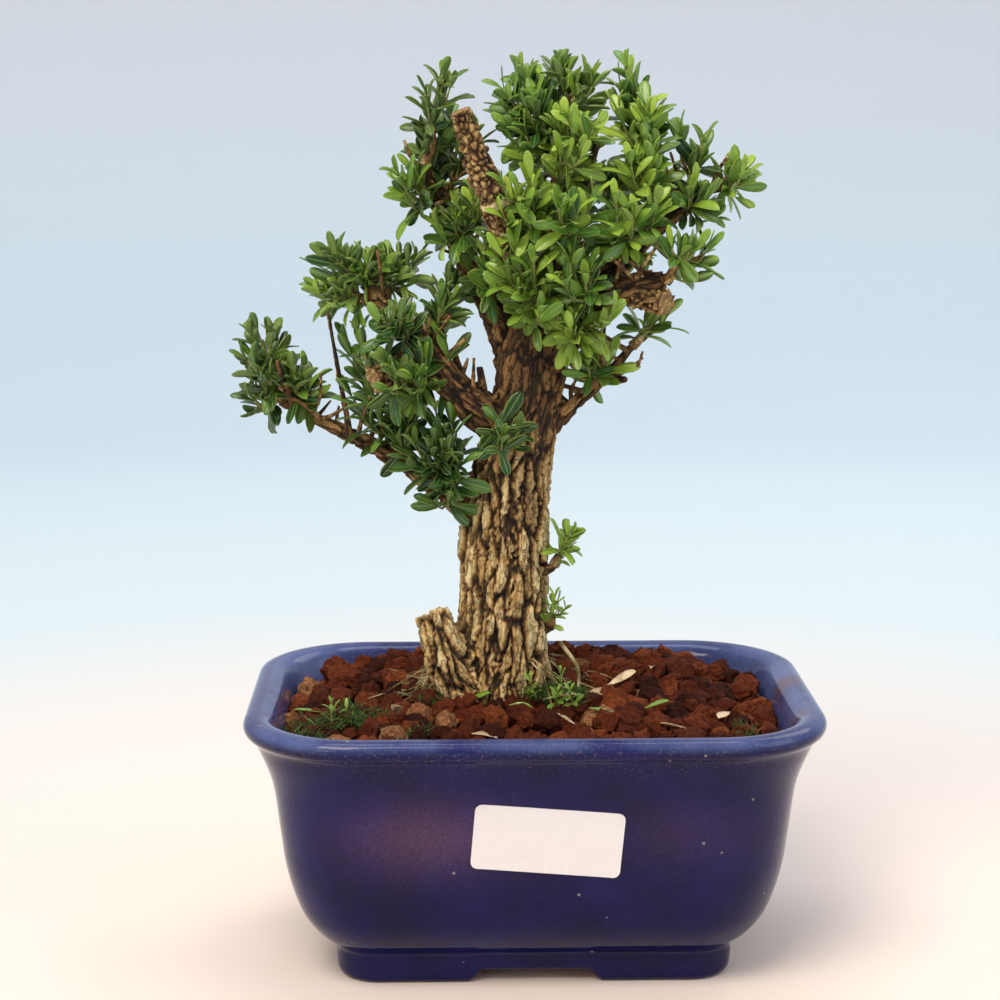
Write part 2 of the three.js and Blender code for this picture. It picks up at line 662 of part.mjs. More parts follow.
// A leaf grows from one side face of the stem, between two rings. Its blade is widest past its
// middle, has a raised midrib and a blunt tip, and bends back.
function planLeaf(rings, { ring, face, opening, swing, length }, grow = 0) {
  const next = (face + 1) % 4;
  const root = [
    rings[ring].corners[face],
    rings[ring].corners[next],
    rings[ring + 1].corners[next],
    rings[ring + 1].corners[face],
  ];
  const middle = root.reduce((sum, point) => sum.addScaledVector(point, 0.25), new THREE.Vector3());
  const stem = rings[ring].stem;
  const out = middle.clone().sub(rings[ring].centre);
  out.addScaledVector(stem, -out.dot(stem)).normalize().applyAxisAngle(stem, swing);
  const side = new THREE.Vector3().crossVectors(stem, out).normalize();
  const along = stem.clone().multiplyScalar(Math.cos(opening)).addScaledVector(out, Math.sin(opening));
  const up = stem.clone().multiplyScalar(Math.sin(opening)).addScaledVector(out, -Math.cos(opening));
  const at = (share, across, rise) => middle.clone()
    .addScaledVector(along, share * (length + grow))
    .addScaledVector(side, across)
    .addScaledVector(up, rise - LEAF_RECURVE * length * share * share);
  const widest = LEAF_WIDTH / 2 + grow;
  const blunt = LEAF_WIDTH * LEAF_BLUNT + grow;
  return {
    root,
    wide: [
      at(LEAF_WIDEST, -widest, -grow),
      at(LEAF_WIDEST, widest, -grow),
      at(LEAF_WIDEST, 0, LEAF_THICKNESS + grow),
    ],
    tip: [at(1, -blunt, 0), at(1, blunt, 0)],
  };
}

// The triangles of a blade from the four corners of its root, which is left open
function bladeFaces([bl, br, tr, tl], [left, right, ridge], [tipLeft, tipRight]) {
  return [
    bl, br, right, bl, right, left,
    br, tr, ridge, br, ridge, right,
    tr, tl, ridge, tl, bl, left, tl, left, ridge,
    left, right, tipRight, left, tipRight, tipLeft,
    right, ridge, tipRight, ridge, tipLeft, tipRight, ridge, left, tipLeft,
  ];
}

function solidOf(points, index) {
  const geometry = new THREE.BufferGeometry();
  geometry.setAttribute('position', new THREE.Float32BufferAttribute(points.flatMap((p) => p.toArray()), 3));
  geometry.setIndex(index);
  return solidFrom(geometry);
}

// One blade by itself, to try whether it has room
function makeBlade({ root, wide, tip }) {
  const faces = bladeFaces([0, 1, 2, 3], [4, 5, 6], [7, 8]);
  return solidOf([...root, ...wide, ...tip], [...faces, 0, 2, 1, 0, 3, 2]);
}

// The part of a blade that is well clear of its own stem
function makeOuterBlade({ root, wide, tip }) {
  const drawnOut = root.map((corner) => corner.clone().lerp(wide[2], OUTER_BLADE));
  return makeBlade({ root: drawnOut, wide, tip });
}

// A shoot is one skin: a four-sided stem whose side faces draw out into leaves
function shootSkin({ rings, leaves }) {
  const points = rings.flatMap((ring) => ring.corners);
  const index = [0, 2, 1, 0, 3, 2];
  const last = 4 * (rings.length - 1);
  index.push(last, last + 1, last + 2, last, last + 2, last + 3);
  for (let ring = 0; ring + 1 < rings.length; ring += 1) {
    for (let face = 0; face < 4; face += 1) {
      const next = (face + 1) % 4;
      const root = [4 * ring + face, 4 * ring + next, 4 * ring + 4 + next, 4 * ring + 4 + face];
      const leaf = leaves.find((other) => other.ring === ring && other.face === face);
      if (leaf) {
        const first = points.length;
        points.push(...leaf.wide, ...leaf.tip);
        index.push(...bladeFaces(root, [first, first + 1, first + 2], [first + 3, first + 4]));
      } else {
        index.push(root[0], root[1], root[2], root[0], root[2], root[3]);
      }
    }
  }
  return { points, index };
}

function makeShoot(shoot) {
  const { points, index } = shootSkin(shoot);
  return solidOf(points, index);
}

function trianglesOf(points, index) {
  const triangles = [];
  for (let i = 0; i < index.length; i += 3) triangles.push([0, 1, 2].map((k) => points[index[i + k]]));
  return triangles;
}

// Whether an edge of some triangles passes through one of the others. An edge only touches the
// triangles that it shares a corner with.
function pierces(triangles, others) {
  const ray = new THREE.Ray();
  const hit = new THREE.Vector3();
  return triangles.some((triangle) => triangle.some((from, k) => {
    const to = triangle[(k + 1) % 3];
    const length = from.distanceTo(to);
    ray.set(from, to.clone().sub(from).divideScalar(length));
    return others.some(([a, b, c]) => ![a, b, c].some((corner) => corner === from || corner === to)
      && ray.intersectTriangle(a, b, c, false, hit)
      && hit.distanceTo(from) < length);
  }));
}

// Whether a new blade would cut through itself or the skin that it grows from
function cutsSkin({ root, wide, tip }, shoot) {
  const blade = trianglesOf([...root, ...wide, ...tip], bladeFaces([0, 1, 2, 3], [4, 5, 6], [7, 8]));
  const { points, index } = shootSkin(shoot);
  const skin = trianglesOf(points, index);
  return pierces(blade, [...skin, ...blade]) || pierces(skin, blade);
}

const boxOf = (solid) => {
  const { min, max } = solid.boundingBox();
  return new THREE.Box3(vector(min), vector(max));
};

const obstacleOf = (solid, shoot) => ({ solid, shoot, box: boxOf(solid) });

function isClear(probe, obstacles) {
  const box = boxOf(probe);
  return obstacles.every((other) => !other.box.intersectsBox(box)
    || probe.intersect(other.solid).isEmpty());
}

// A shoot's stem is tried at its place, then a little beside it, until it meets nothing
function growStem(plan, tip, kind, obstacles) {
  for (let attempt = 0; attempt < STEM_TRIES; attempt += 1) {
    const curve = planShoot(plan, tip, attempt);
    const rings = shootRings(curve, kind);
    const stem = makeShoot({ rings, leaves: [] });
    const upper = makeShoot({ rings: shootRings(curve, kind, FIT).slice(1), leaves: [] });
    const clear = isClear(stem, obstacles) && isClear(upper, obstacles);
    if (clear) return { kind, curve, rings, stem, leaves: [] };
  }
  return null;
}

// Leaves stand in opposite pairs, each pair on the faces between those of the last. A leaf that
// would meet another piece opens and shortens a little, and is left out if it still does.
function growLeaves(shoot, obstacles) {
  const own = [];
  shoot.kind.pairs.forEach(([ring, openingDegrees, share]) => {
    for (const face of [ring % 2, (ring % 2) + 2]) {
      for (let attempt = 0; attempt < LEAF_TRIES; attempt += 1) {
        const place = {
          ring,
          face,
          opening: THREE.MathUtils.degToRad(openingDegrees + vary(6 + 4 * attempt)),
          swing: vary(0.1 + 0.09 * attempt),
          length: LEAF_LENGTH * share * (1 - 0.03 * attempt) * (1 + vary(0.06)),
        };
        const probe = planLeaf(shoot.rings, place, FIT);
        const leaf = planLeaf(shoot.rings, place);
        const clear = isClear(makeBlade(probe), obstacles) && isClear(makeOuterBlade(probe), own);
        if (clear && !cutsSkin(leaf, shoot)) {
          shoot.leaves.push({ ring, face, ...leaf });
          own.push(obstacleOf(makeOuterBlade(leaf)));
          break;
        }
      }
    }
  });
}

function finish(color, roughness) {
  return new THREE.MeshStandardMaterial({ color, roughness, metalness: 0, flatShading: true });
}

const bonsai = new THREE.Group();

function addPiece(name, solid, material) {
  const mesh = new THREE.Mesh(geometryFrom(solid), material);
  mesh.name = name;
  bonsai.add(mesh);
}

// The wood: trunk, limbs, stubs and the twig of every spray grow together in one piece
const plans = [];
const woodParts = [makeTrunk()];
for (const [limbName, limb] of Object.entries(LIMBS)) {
  woodParts.push(makeLimb(limb));
  limb.sprays.forEach((points, i) => {
    const tips = points.map(vector);
    const plan = planSpray(limb, tips);
    plans.push({ name: `${limbName}_spray_${i + 1}`, ...plan, tips });
    woodParts.push(makeTwig(plan));
  });
}
for (const [from, to, startRadius, endRadius] of STUBS) {
  const points = [vector(from), vector(from).lerp(vector(to), 0.5), vector(to)];
  const steps = Math.max(2, Math.round(points[0].distanceTo(points[2]) / LIMB_STEP));
  woodParts.push(makeStem(points, [startRadius, endRadius], STUB_SIDES, steps, LIMB_ROUGH));
}
woodParts.push(makeRootStub());
const wood = mainBody(wasm.Manifold.union(woodParts));
const trunkHole = makeTrunk(TRUNK_CLEAR).add(makeRootStub(TRUNK_CLEAR));

const plastic = finish(COLOURS.plastic, 0.5);
addPiece('pot', makePot(), finish(COLOURS.glaze, 0.2));
addPiece('label', makeLabel(), finish(COLOURS.paper, 0.6));
addPiece('drain_screen_left', makeScreen(-DRAIN_X), plastic);
addPiece('drain_screen_right', makeScreen(DRAIN_X), plastic);
addPiece('soil', makeSoil(trunkHole), finish(COLOURS.granules, 0.95));
addPiece('trunk_and_branches', wood, finish(COLOURS.bark, 0.9));

// The green stems of every spray are placed first, then their leaves one by one
const obstacles = [obstacleOf(wood)];
const shoots = [];
for (const plan of plans) {
  plan.tips.forEach((tip, i) => {
    const others = obstacles.filter((other) => other.shoot?.spray !== plan.name);
    const shoot = growStem(plan, tip, i === 0 ? MAIN_SHOOT : SIDE_SHOOT, others);
    if (i === 0) plan.main = shoot;
    if (shoot) {
      shoot.spray = plan.name;
      shoots.push(shoot);
      obstacles.push(obstacleOf(shoot.stem, shoot));
    }
  });
}
for (const kind of [MAIN_SHOOT, SIDE_SHOOT]) {
  for (const shoot of shoots.filter((other) => other.kind === kind)) {
    growLeaves(shoot, obstacles.filter((other) => other.shoot !== shoot));
    shoot.leaves.forEach((leaf) => obstacles.push(obstacleOf(makeBlade(leaf), shoot)));
  }
}
plans.forEach(({ name }, i) => {
  const own = shoots.filter((shoot) => shoot.spray === name);
  const leafy = own.filter((shoot, k) => k === 0 || shoot.leaves.length >= FEWEST_LEAVES);
  const spray = mainBody(wasm.Manifold.union(leafy.map(makeShoot)));
  addPiece(name, spray, finish(COLOURS.leaf[i % COLOURS.leaf.length], 0.35));
});

// The origin is under the middle of the whole
const whole = new THREE.Box3().setFromObject(bonsai);
const middle = whole.getCenter(new THREE.Vector3());
bonsai.position.set(-middle.x, -middle.y, 0);

export default bonsai;
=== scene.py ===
# %% [markdown]
# # A Harland boxwood bonsai in its glazed pot
#
# The solids of this little tree are already made at their real size. This notebook gives them
# their looks: a smooth glazed pot, a bed of clay granules, cracked bark, and a crown of small
# glossy leaves. Every cell makes one thing and prints what it made.
#
# Sizes are in millimetres, measured from the middle of the pot: X to the right, Y away from the
# viewer, Z up from the surface that the pot stands on.

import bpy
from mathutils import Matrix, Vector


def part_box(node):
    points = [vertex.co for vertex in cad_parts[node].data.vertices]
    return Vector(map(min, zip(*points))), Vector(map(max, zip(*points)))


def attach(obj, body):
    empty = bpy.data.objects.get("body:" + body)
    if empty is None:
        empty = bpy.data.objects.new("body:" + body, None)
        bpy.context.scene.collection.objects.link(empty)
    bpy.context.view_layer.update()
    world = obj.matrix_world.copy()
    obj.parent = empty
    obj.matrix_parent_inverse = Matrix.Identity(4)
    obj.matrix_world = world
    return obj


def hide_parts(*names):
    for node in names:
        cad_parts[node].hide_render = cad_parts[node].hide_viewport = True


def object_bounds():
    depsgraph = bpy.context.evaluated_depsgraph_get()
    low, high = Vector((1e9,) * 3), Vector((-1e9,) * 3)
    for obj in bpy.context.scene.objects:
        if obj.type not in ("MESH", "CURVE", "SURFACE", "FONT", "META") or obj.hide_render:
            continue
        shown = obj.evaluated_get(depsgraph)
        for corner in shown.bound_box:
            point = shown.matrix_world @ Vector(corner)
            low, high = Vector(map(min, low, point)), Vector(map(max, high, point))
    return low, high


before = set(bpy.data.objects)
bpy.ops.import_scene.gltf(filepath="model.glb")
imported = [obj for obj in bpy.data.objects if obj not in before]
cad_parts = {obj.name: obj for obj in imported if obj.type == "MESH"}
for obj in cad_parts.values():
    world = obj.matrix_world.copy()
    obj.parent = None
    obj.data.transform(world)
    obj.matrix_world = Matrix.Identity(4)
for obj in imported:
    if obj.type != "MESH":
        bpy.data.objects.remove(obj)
cad_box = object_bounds()
print(len(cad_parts), "nodes")

# %% Modules, units and the middle of the pot
import math

import bpy
import numpy as np
from mathutils import Vector, kdtree, noise

MM = 0.001
pot_low, pot_high = (np.array(corner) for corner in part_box("pot"))
POT_MIDDLE = np.array([(pot_low[0] + pot_high[0]) / 2, (pot_low[1] + pot_high[1]) / 2, 0.0])
LOW_X, HIGH_X = ((corner[0] - POT_MIDDLE[0]) / MM for corner in cad_box)
HIGH_Z = cad_box[1][2] / MM
print("the pot's middle is at", POT_MIDDLE.round(4), "and the whole is", round(HIGH_Z), "mm high")

# %% [markdown]
# ## The camera comes first
#
# The photograph was taken from just above the crown with a long lens, looking down at ten
# degrees. A long lens keeps the pot's sides nearly parallel, so its focal length matters as much
# as the place of the camera. It is set here once, and nothing else depends on it.

# %% Camera
CAMERA_PLACE = np.array([-26.8, -694.6, 270.0])
CAMERA_DOWN = 9.95  # degrees below level
CAMERA_TURN = 1.36  # degrees to the right
FOCAL_SHARE = 2.2  # focal length as a share of the picture's width

camera_data = bpy.data.cameras.new("camera")
camera_data.sensor_width = 36
camera_data.lens = FOCAL_SHARE * camera_data.sensor_width
camera_data.clip_end = 20
camera = bpy.data.objects.new("camera", camera_data)
camera.location = Vector(CAMERA_PLACE * MM + POT_MIDDLE)
camera.rotation_euler = (math.radians(90 - CAMERA_DOWN), 0, -math.radians(CAMERA_TURN))
bpy.context.scene.collection.objects.link(camera)
bpy.context.scene.camera = camera
print("lens", round(camera_data.lens, 1), "mm")

# %% [markdown]
# ## Small helpers
#
# Colours are written as they look on a screen, in hex, and one function turns them into the
# linear values that a renderer adds up. One function adds a shader node with its settings and
# links, and one turns points and faces into an object that rides on the part.

# %% Helpers for colours and materials
def linear(hex_colour):
    """The linear colour of an sRGB hex value such as #3f6a2a."""
    channels = [int(hex_colour[i:i + 2], 16) / 255 for i in (1, 3, 5)]
    return tuple(c / 12.92 if c <= 0.04045 else ((c + 0.055) / 1.055) ** 2.4 for c in channels) + (1.0,)


def add_node(material, kind, inputs=None, out=0, stops=(), **settings):
    """Adds a node and returns one of its outputs. Inputs are values or the outputs of other nodes."""
    node = material.node_tree.nodes.new("ShaderNode" + kind)
    for name, value in settings.items():
        setattr(node, name, value)
    for name, value in (inputs or {}).items():
        if isinstance(value, bpy.types.NodeSocket):
            material.node_tree.links.new(value, node.inputs[name])
        else:
            node.inputs[name].default_value = value
    if stops:
        steps = node.color_ramp.elements
        steps.remove(steps[1])
        for number, (place, hex_colour) in enumerate(stops):
            step = steps.new(place) if number else steps[0]
            step.position, step.color = place, linear(hex_colour)
    return node.outputs[out]


def new_material(name, **numbers):
    """A material whose plain numbers are set on the sockets of its one Principled shader."""
    material = bpy.data.materials.new(name)
    material.use_nodes = True
    for socket, value in numbers.items():
        material.node_tree.nodes["Principled BSDF"].inputs[socket.replace("_", " ")].default_value = value
    return material


def connect(material, **outputs):
    """Links outputs of nodes to the sockets of the material's shader."""
    shader = material.node_tree.nodes["Principled BSDF"]
    for socket, output in outputs.items():
        material.node_tree.links.new(output, shader.inputs[socket.replace("_", " ")])
    print(material.name, "has", len(material.node_tree.nodes), "nodes")


print("half grey on a screen is", round(linear("#808080")[0], 3), "of full light")

# %% Helpers for pieces
def make_piece(name, points, faces, material, slot=None, replaces=(), smooth=True, attributes=None):
    """An object from points in millimetres and faces, riding on the part."""
    mesh = bpy.data.meshes.new(name)
    mesh.from_pydata((np.asarray(points, float) * MM + POT_MIDDLE).tolist(), [], faces)
    for key, values in (attributes or {}).items():
        values = np.asarray(values, np.float32)
        kind, field = ("FLOAT", "value") if values.ndim == 1 else ("FLOAT_VECTOR", "vector")
        mesh.attributes.new(key, kind, "POINT").data.foreach_set(field, values.ravel())
    if material:
        mesh.materials.append(material)
    if smooth:
        mesh.shade_smooth()
    mesh.update()
    piece = bpy.data.objects.new(name, mesh)
    bpy.context.scene.collection.objects.link(piece)
    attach(piece, "root")
    if replaces:
        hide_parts(*replaces)
    print(name, "has", sum(len(face) - 2 for face in faces), "triangles")
    return piece

# %% A bundle of small meshes
class Bundle:
    """Many small meshes gathered into one, with values on their points."""

    def __init__(self):
        self.points, self.faces, self.values, self.count = [], [], {}, 0

    def add(self, points, faces, **values):
        self.faces += [[corner + self.count for corner in face] for face in faces]
        self.points.append(points)
        self.count += len(points)
        for key, value in values.items():
            value = np.asarray(value, float)
            if value.shape[:1] != (len(points),):
                value = np.broadcast_to(value, (len(points),) + value.shape)
            self.values.setdefault(key, []).append(value)

    def make(self, name, material, **settings):
        """One piece of all that was added."""
        values = {key: np.concatenate(parts) for key, parts in self.values.items()}
        return make_piece(name, np.vstack(self.points), self.faces, material, attributes=values, **settings)


print("a new bundle holds", Bundle().count, "points")

# %% [markdown]
# ## Smooth curves and round tubes
#
# Branches, twigs, stems and rootlets are all tubes along a curve, and the pot's wall is a curve
# too. A Catmull-Rom curve goes through every point that it is given, and its centripetal form
# doesn't swing out at a tight bend, so a few given points are enough.

# %% Smooth curves
def between(p, q, start, end, t):
    """The point on the line from p to q that a clock running from start to end reaches at t."""
    return p + (q - p) * ((t - start) / (end - start))[:, None]


def smooth_curve(points, step):
    """Points about a step apart on a centripetal Catmull-Rom curve through the given points."""
    points = np.asarray(points, float)
    ends = np.vstack([2 * points[0] - points[1], points, 2 * points[-1] - points[-2]])
    curve = []
    for a, b, c, d in zip(ends, ends[1:], ends[2:], ends[3:]):
        gaps = [math.sqrt(max(np.linalg.norm(q - p), 1e-6)) for p, q in ((a, b), (b, c), (c, d))]
        t0, t1, t2, t3 = np.cumsum([0] + gaps)
        count = max(1, round(np.linalg.norm(c - b) / step))
        t = np.linspace(t1, t2, count, endpoint=False)
        before, here, after = between(a, b, t0, t1, t), between(b, c, t1, t2, t), between(c, d, t2, t3, t)
        low, high = between(before, here, t0, t2, t), between(here, after, t1, t3, t)
        curve.append(between(low, high, t1, t2, t))
    return np.vstack(curve + [points[-1:]])


print("a bend 10 mm wide gets", len(smooth_curve([[0, 0, 0], [5, 0, 5], [10, 0, 0]], 1.0)), "points")

# %% Round tubes
def unit(v):
    """A vector, or each row of several, at length one."""
    return v / np.maximum(np.linalg.norm(v, axis=-1, keepdims=True), 1e-9)


def frames_along(path):
    """The direction of a path at each point, and two directions across it that don't spin."""
    along = unit(np.gradient(path, axis=0))
    across = np.cross(along[0], [0.3, 0.9, 0.2])
    first = []
    for direction in along:
        across = unit(across - direction * (across @ direction))
        first.append(across)
    first = np.array(first)
    return along, first, np.cross(along, first)


def ring_faces(rings, sides):
    """Faces between rings of equally many points, and a cap on each end."""
    i, j = np.meshgrid(np.arange(rings - 1), np.arange(sides), indexing="ij")
    a, b = i * sides + j, i * sides + (j + 1) % sides
    quads = np.stack([a, b, b + sides, a + sides], -1).reshape(-1, 4)
    last = (rings - 1) * sides
    return quads.tolist() + [list(range(sides))[::-1], list(range(last, last + sides))]


def tube(path, radii, sides):
    """Points and faces of a round tube with closed ends. Radii may be one number or many."""
    along, first, second = frames_along(path)
    turn = np.arange(sides) * 2 * np.pi / sides
    ring = np.cos(turn)[None, :, None] * first[:, None] + np.sin(turn)[None, :, None] * second[:, None]
    radii = np.broadcast_to(radii, len(path))
    return (path[:, None] + ring * radii[:, None, None]).reshape(-1, 3), ring_faces(len(path), sides)


print("a tube of three rings with six sides has", len(ring_faces(3, 6)), "faces")

# %% [markdown]
# ## The pot's glaze
#
# The pot is stoneware, slip-cast and dipped in a cobalt glaze. Cobalt is a deep blue where the
# glaze is thick, and it breaks to a paler blue over the lip and down the inside. A fired glaze
# is glass, so its IOR starts from 1.5, and is matched a little below it. Its roughness is low,
# and its surface isn't flat: a fine ripple like orange peel breaks up every reflection. Specks of
# dirt lie on it, and on its front lies a pinkish painted reflection. Where they lie is held on the
# mesh's points, and the patterns break their edges up.

# %% Patterns in the glaze
GLAZE_CLOUD = 26  # mm across one cloud of thicker glaze
GLAZE_RIPPLE = 2.6  # mm between the ripples of the orange peel
PINHOLE_APART, SPECK_APART = 7.0, 11.0  # mm from one to the next
GRIME_PER_MM = 0.9  # patches of grime in a millimetre

glaze = new_material("cobalt_glazed_stoneware", IOR=1.43, Specular_IOR_Level=0.28)
thin, dusty, stain, reflection_patch, bare = (
    add_node(glaze, "Attribute", out="Fac", attribute_name=name)
    for name in ("thin_glaze", "dusty", "stained", "painted_reflection", "bare_clay")
)
place = add_node(glaze, "TexCoord", out="Object")
mm_place = add_node(glaze, "Mapping", {"Vector": place, "Scale": [1 / MM] * 3})
cloud = add_node(glaze, "TexNoise", {"Vector": mm_place, "Scale": 1 / GLAZE_CLOUD, "Detail": 4.0})
ripple = add_node(glaze, "TexNoise", {"Vector": mm_place, "Scale": 1 / GLAZE_RIPPLE, "Detail": 1.0})
grime = add_node(
    glaze, "TexNoise", {"Vector": mm_place, "Scale": GRIME_PER_MM, "Detail": 6.0, "Roughness": 0.7},
)
speck, pinhole = (
    add_node(glaze, "TexVoronoi", {"Vector": mm_place, "Scale": 1 / apart}, out="Distance")
    for apart in (SPECK_APART, PINHOLE_APART)
)
print(len(glaze.node_tree.nodes), "nodes of pattern")

# %% Glaze material
patchy = add_node(glaze, "Math", {0: cloud, 1: thin}, operation="MULTIPLY")
thin_share = add_node(
    glaze, "MapRange", {0: patchy, 1: 0.12, 2: 0.62, 4: 0.85}, interpolation_type="SMOOTHSTEP",
)
speck_share = add_node(glaze, "MapRange", {0: speck, 1: 0.03, 2: 0.055, 3: 0.7, 4: 0.0})
grime_share = add_node(glaze, "MapRange", {0: grime, 1: 0.55, 2: 0.8})
dust = add_node(glaze, "Math", {0: grime_share, 1: dusty}, operation="MULTIPLY")
dirt = add_node(glaze, "Math", {0: dust, 1: speck_share}, operation="MAXIMUM")
stain_here = add_node(glaze, "Math", {0: stain, 1: grime}, operation="MULTIPLY")
stain_share = add_node(glaze, "MapRange", {0: stain_here, 1: 0.2, 2: 0.6, 4: 0.75})
reflection_share = add_node(glaze, "Math", {0: reflection_patch, 1: grime}, operation="MULTIPLY")
colour = add_node(
    glaze, "ValToRGB", {"Fac": cloud}, stops=[(0.34, "#13124d"), (0.5, "#0c0b42"), (0.66, "#090838")],
)
layers = [  # how much of the next colour lies where, from the first to the last
    # the mauve-pink colour is a painted reflection on the pot's front face
    (thin_share, "#5a6698"), (dirt, "#9a8f88"), (stain_share, "#6a4a34"), (reflection_share, "#8a6070"),
    (bare, "#86624c"),
]
for share, hex_colour in layers:
    colour = add_node(glaze, "Mix", {0: share, 6: colour, 7: linear(hex_colour)}, out=2, data_type="RGBA")
matt = add_node(glaze, "Math", {0: dirt, 1: bare}, operation="MAXIMUM")
roughness = add_node(glaze, "MapRange", {0: matt, 3: 0.08, 4: 0.75})
pit = add_node(glaze, "MapRange", {0: pinhole, 1: 0.03, 2: 0.07})
height = add_node(glaze, "Math", {0: ripple, 1: pit}, operation="ADD")
bump = add_node(glaze, "Bump", {"Height": height, "Strength": 0.22, "Distance": 0.1 * MM})
connect(glaze, Base_Color=colour, Roughness=roughness, Normal=bump)

# %% [markdown]
# ## The pot
#
# An oblong slip-cast pot is a set of level rings, each a rectangle with round corners that is a
# little longer than the one below. The rings here follow one closed section: from the middle of
# the underside out to the foot, up the bellied wall, over the rolled lip and down inside to the
# floor. The gaps between the feet are made by lifting the foot's lower edge, so that their
# edges stay as softly rounded as the rest, and the two drain holes are cut at the end.

# %% The section and the rings of the pot
POT_HALF_LENGTH, POT_HALF_DEPTH, POT_CORNER, CORNER_TAPER = 91, 66, 36, 0.8
POT_FLOOR, FOOT_TOP, FOOT_INSIDE = 13, 9, 52.5
POT_UNDERSIDE = [[7.2, 30], [7.2, 52], [6.4, 53], [0.8, 53.6], [0.1, 54.4]]
POT_FOOT = [[0, 55.5], [0, 60.2]]
POT_OUTSIDE = [
    [0.6, 61.9], [2.2, 62.7], [7.4, 63.1], [8.8, 62.9], [10.6, 64], [14.7, 68.7], [20.7, 73.1], [28, 76.1],
    [37.9, 78.7], [48.4, 80.1], [65, 82.4], [74, 85.6], [79.2, 88.1], [81.2, 90.3], [83.5, 91], [85.6, 90],
    [86.5, 87.6],
]
POT_LIP_INSIDE = [[86, 84.5], [84, 82], [78, 79.5]]
POT_INSIDE = [[78, 79.5], [40, 73.7], [20, 67], [POT_FLOOR, 58], [POT_FLOOR, 32]]
CORNER_POINTS, SIDE_POINTS, END_POINTS = 18, 48, 26


def pot_ring(half_length, z):
    """A level ring round the pot, where its half length is the one given."""
    inset = POT_HALF_LENGTH - half_length
    radius = max(1.5, POT_CORNER - CORNER_TAPER * inset)
    straight = np.array([half_length - radius, POT_HALF_DEPTH - inset - radius])
    corners = []
    for quarter, signs in enumerate([(1, 1), (-1, 1), (-1, -1), (1, -1)]):
        turn = (quarter + np.linspace(0, 1, CORNER_POINTS)) * np.pi / 2
        corners.append(np.stack([np.cos(turn), np.sin(turn)], 1) * radius + straight * signs)
    ring = []
    for quarter, arc in enumerate(corners):
        count = (SIDE_POINTS, END_POINTS)[quarter % 2]
        share = np.linspace(0, 1, count + 2)[1:-1, None]
        ring += [arc, arc[-1] + (corners[(quarter + 1) % 4][0] - arc[-1]) * share]
    flat = np.vstack(ring)
    return np.column_stack([flat, np.full(len(flat), z)])


section = np.vstack([
    POT_UNDERSIDE, smooth_curve(POT_FOOT + POT_OUTSIDE + POT_LIP_INSIDE, 1.1)[:-1],
    smooth_curve(POT_INSIDE, 3.5),
])
section[:, 0] = np.maximum(section[:, 0], 0)
sides = len(pot_ring(POT_HALF_LENGTH, 0))
points = np.vstack([pot_ring(half_length, z) for z, half_length in section])
print(len(section), "rings of", sides, "points")

# %% Feet
ARCH_HEIGHT, ARCH_FLARE, FRONT_ARCH, END_ARCH = 4, 3.5, 17, 11
LONG_SIDE_Y, SHORT_SIDE_X = 20, 45  # beyond these lie the foot's long sides and its ends


def foot_lift(points):
    """How far the foot's lower edge is lifted at each point, for the gaps between the feet."""
    x, y = np.abs(points[:, 0]), np.abs(points[:, 1])
    front = np.clip((FRONT_ARCH + ARCH_FLARE - x) / ARCH_FLARE, 0, 1) * (y > LONG_SIDE_Y)
    end = np.clip((END_ARCH + ARCH_FLARE - y) / ARCH_FLARE, 0, 1) * (x > SHORT_SIDE_X)
    share = np.maximum(front, end)
    return ARCH_HEIGHT * share * share * (3 - 2 * share)


foot = (points[:, 2] < FOOT_TOP) & (np.repeat(section[:, 1], sides) > FOOT_INSIDE)
lift = foot_lift(points) * foot
points[:, 2] = np.where(foot, lift + points[:, 2] * (FOOT_TOP - lift) / FOOT_TOP, points[:, 2])
print("the feet part by up to", lift.max(), "mm of height")

# %% Where the glaze is thin, dusty, stained or bare, and where a painted reflection lies
STAINS = [[-61, -60, 44, 2.2], [80, -32, 85, 9], [84, 6, 85, 10]]  # x, y, z and how far each spreads
# pinkish patches of painted reflection on the front face of the pot
PAINTED_REFLECTIONS = [[-33, 54, 24, 11, 0.5], [46, 55, 26, 10, 0.14]]  # x, z, widths, strength
LIP_Z, NECK_Z, DUST_FROM_Z, BARE_BELOW_Z = 85.5, 10, 72, 0.45

x, y, z = points.T
outside = np.repeat(np.arange(len(section)) <= np.argmax(section[:, 0]), sides)
reflection_patch = sum(
    strength * np.exp(-((x - reflection_x) / wide) ** 2 - ((z - reflection_z) / high) ** 2)
    for reflection_x, reflection_z, wide, high, strength in PAINTED_REFLECTIONS
) * (y < -LONG_SIDE_Y)
lip = np.exp(-((z - LIP_Z) / 3.0) ** 2)
neck = np.exp(-((z - NECK_Z) / 2.5) ** 2) * 0.2
stained = sum(np.exp(-((points - spot[:3]) ** 2).sum(1) / spot[3] ** 2) for spot in np.array(STAINS, float))
# the pinkish patches on the front face are a painted reflection
print(round(reflection_patch.max(), 2), "of the painted reflection at its middle")

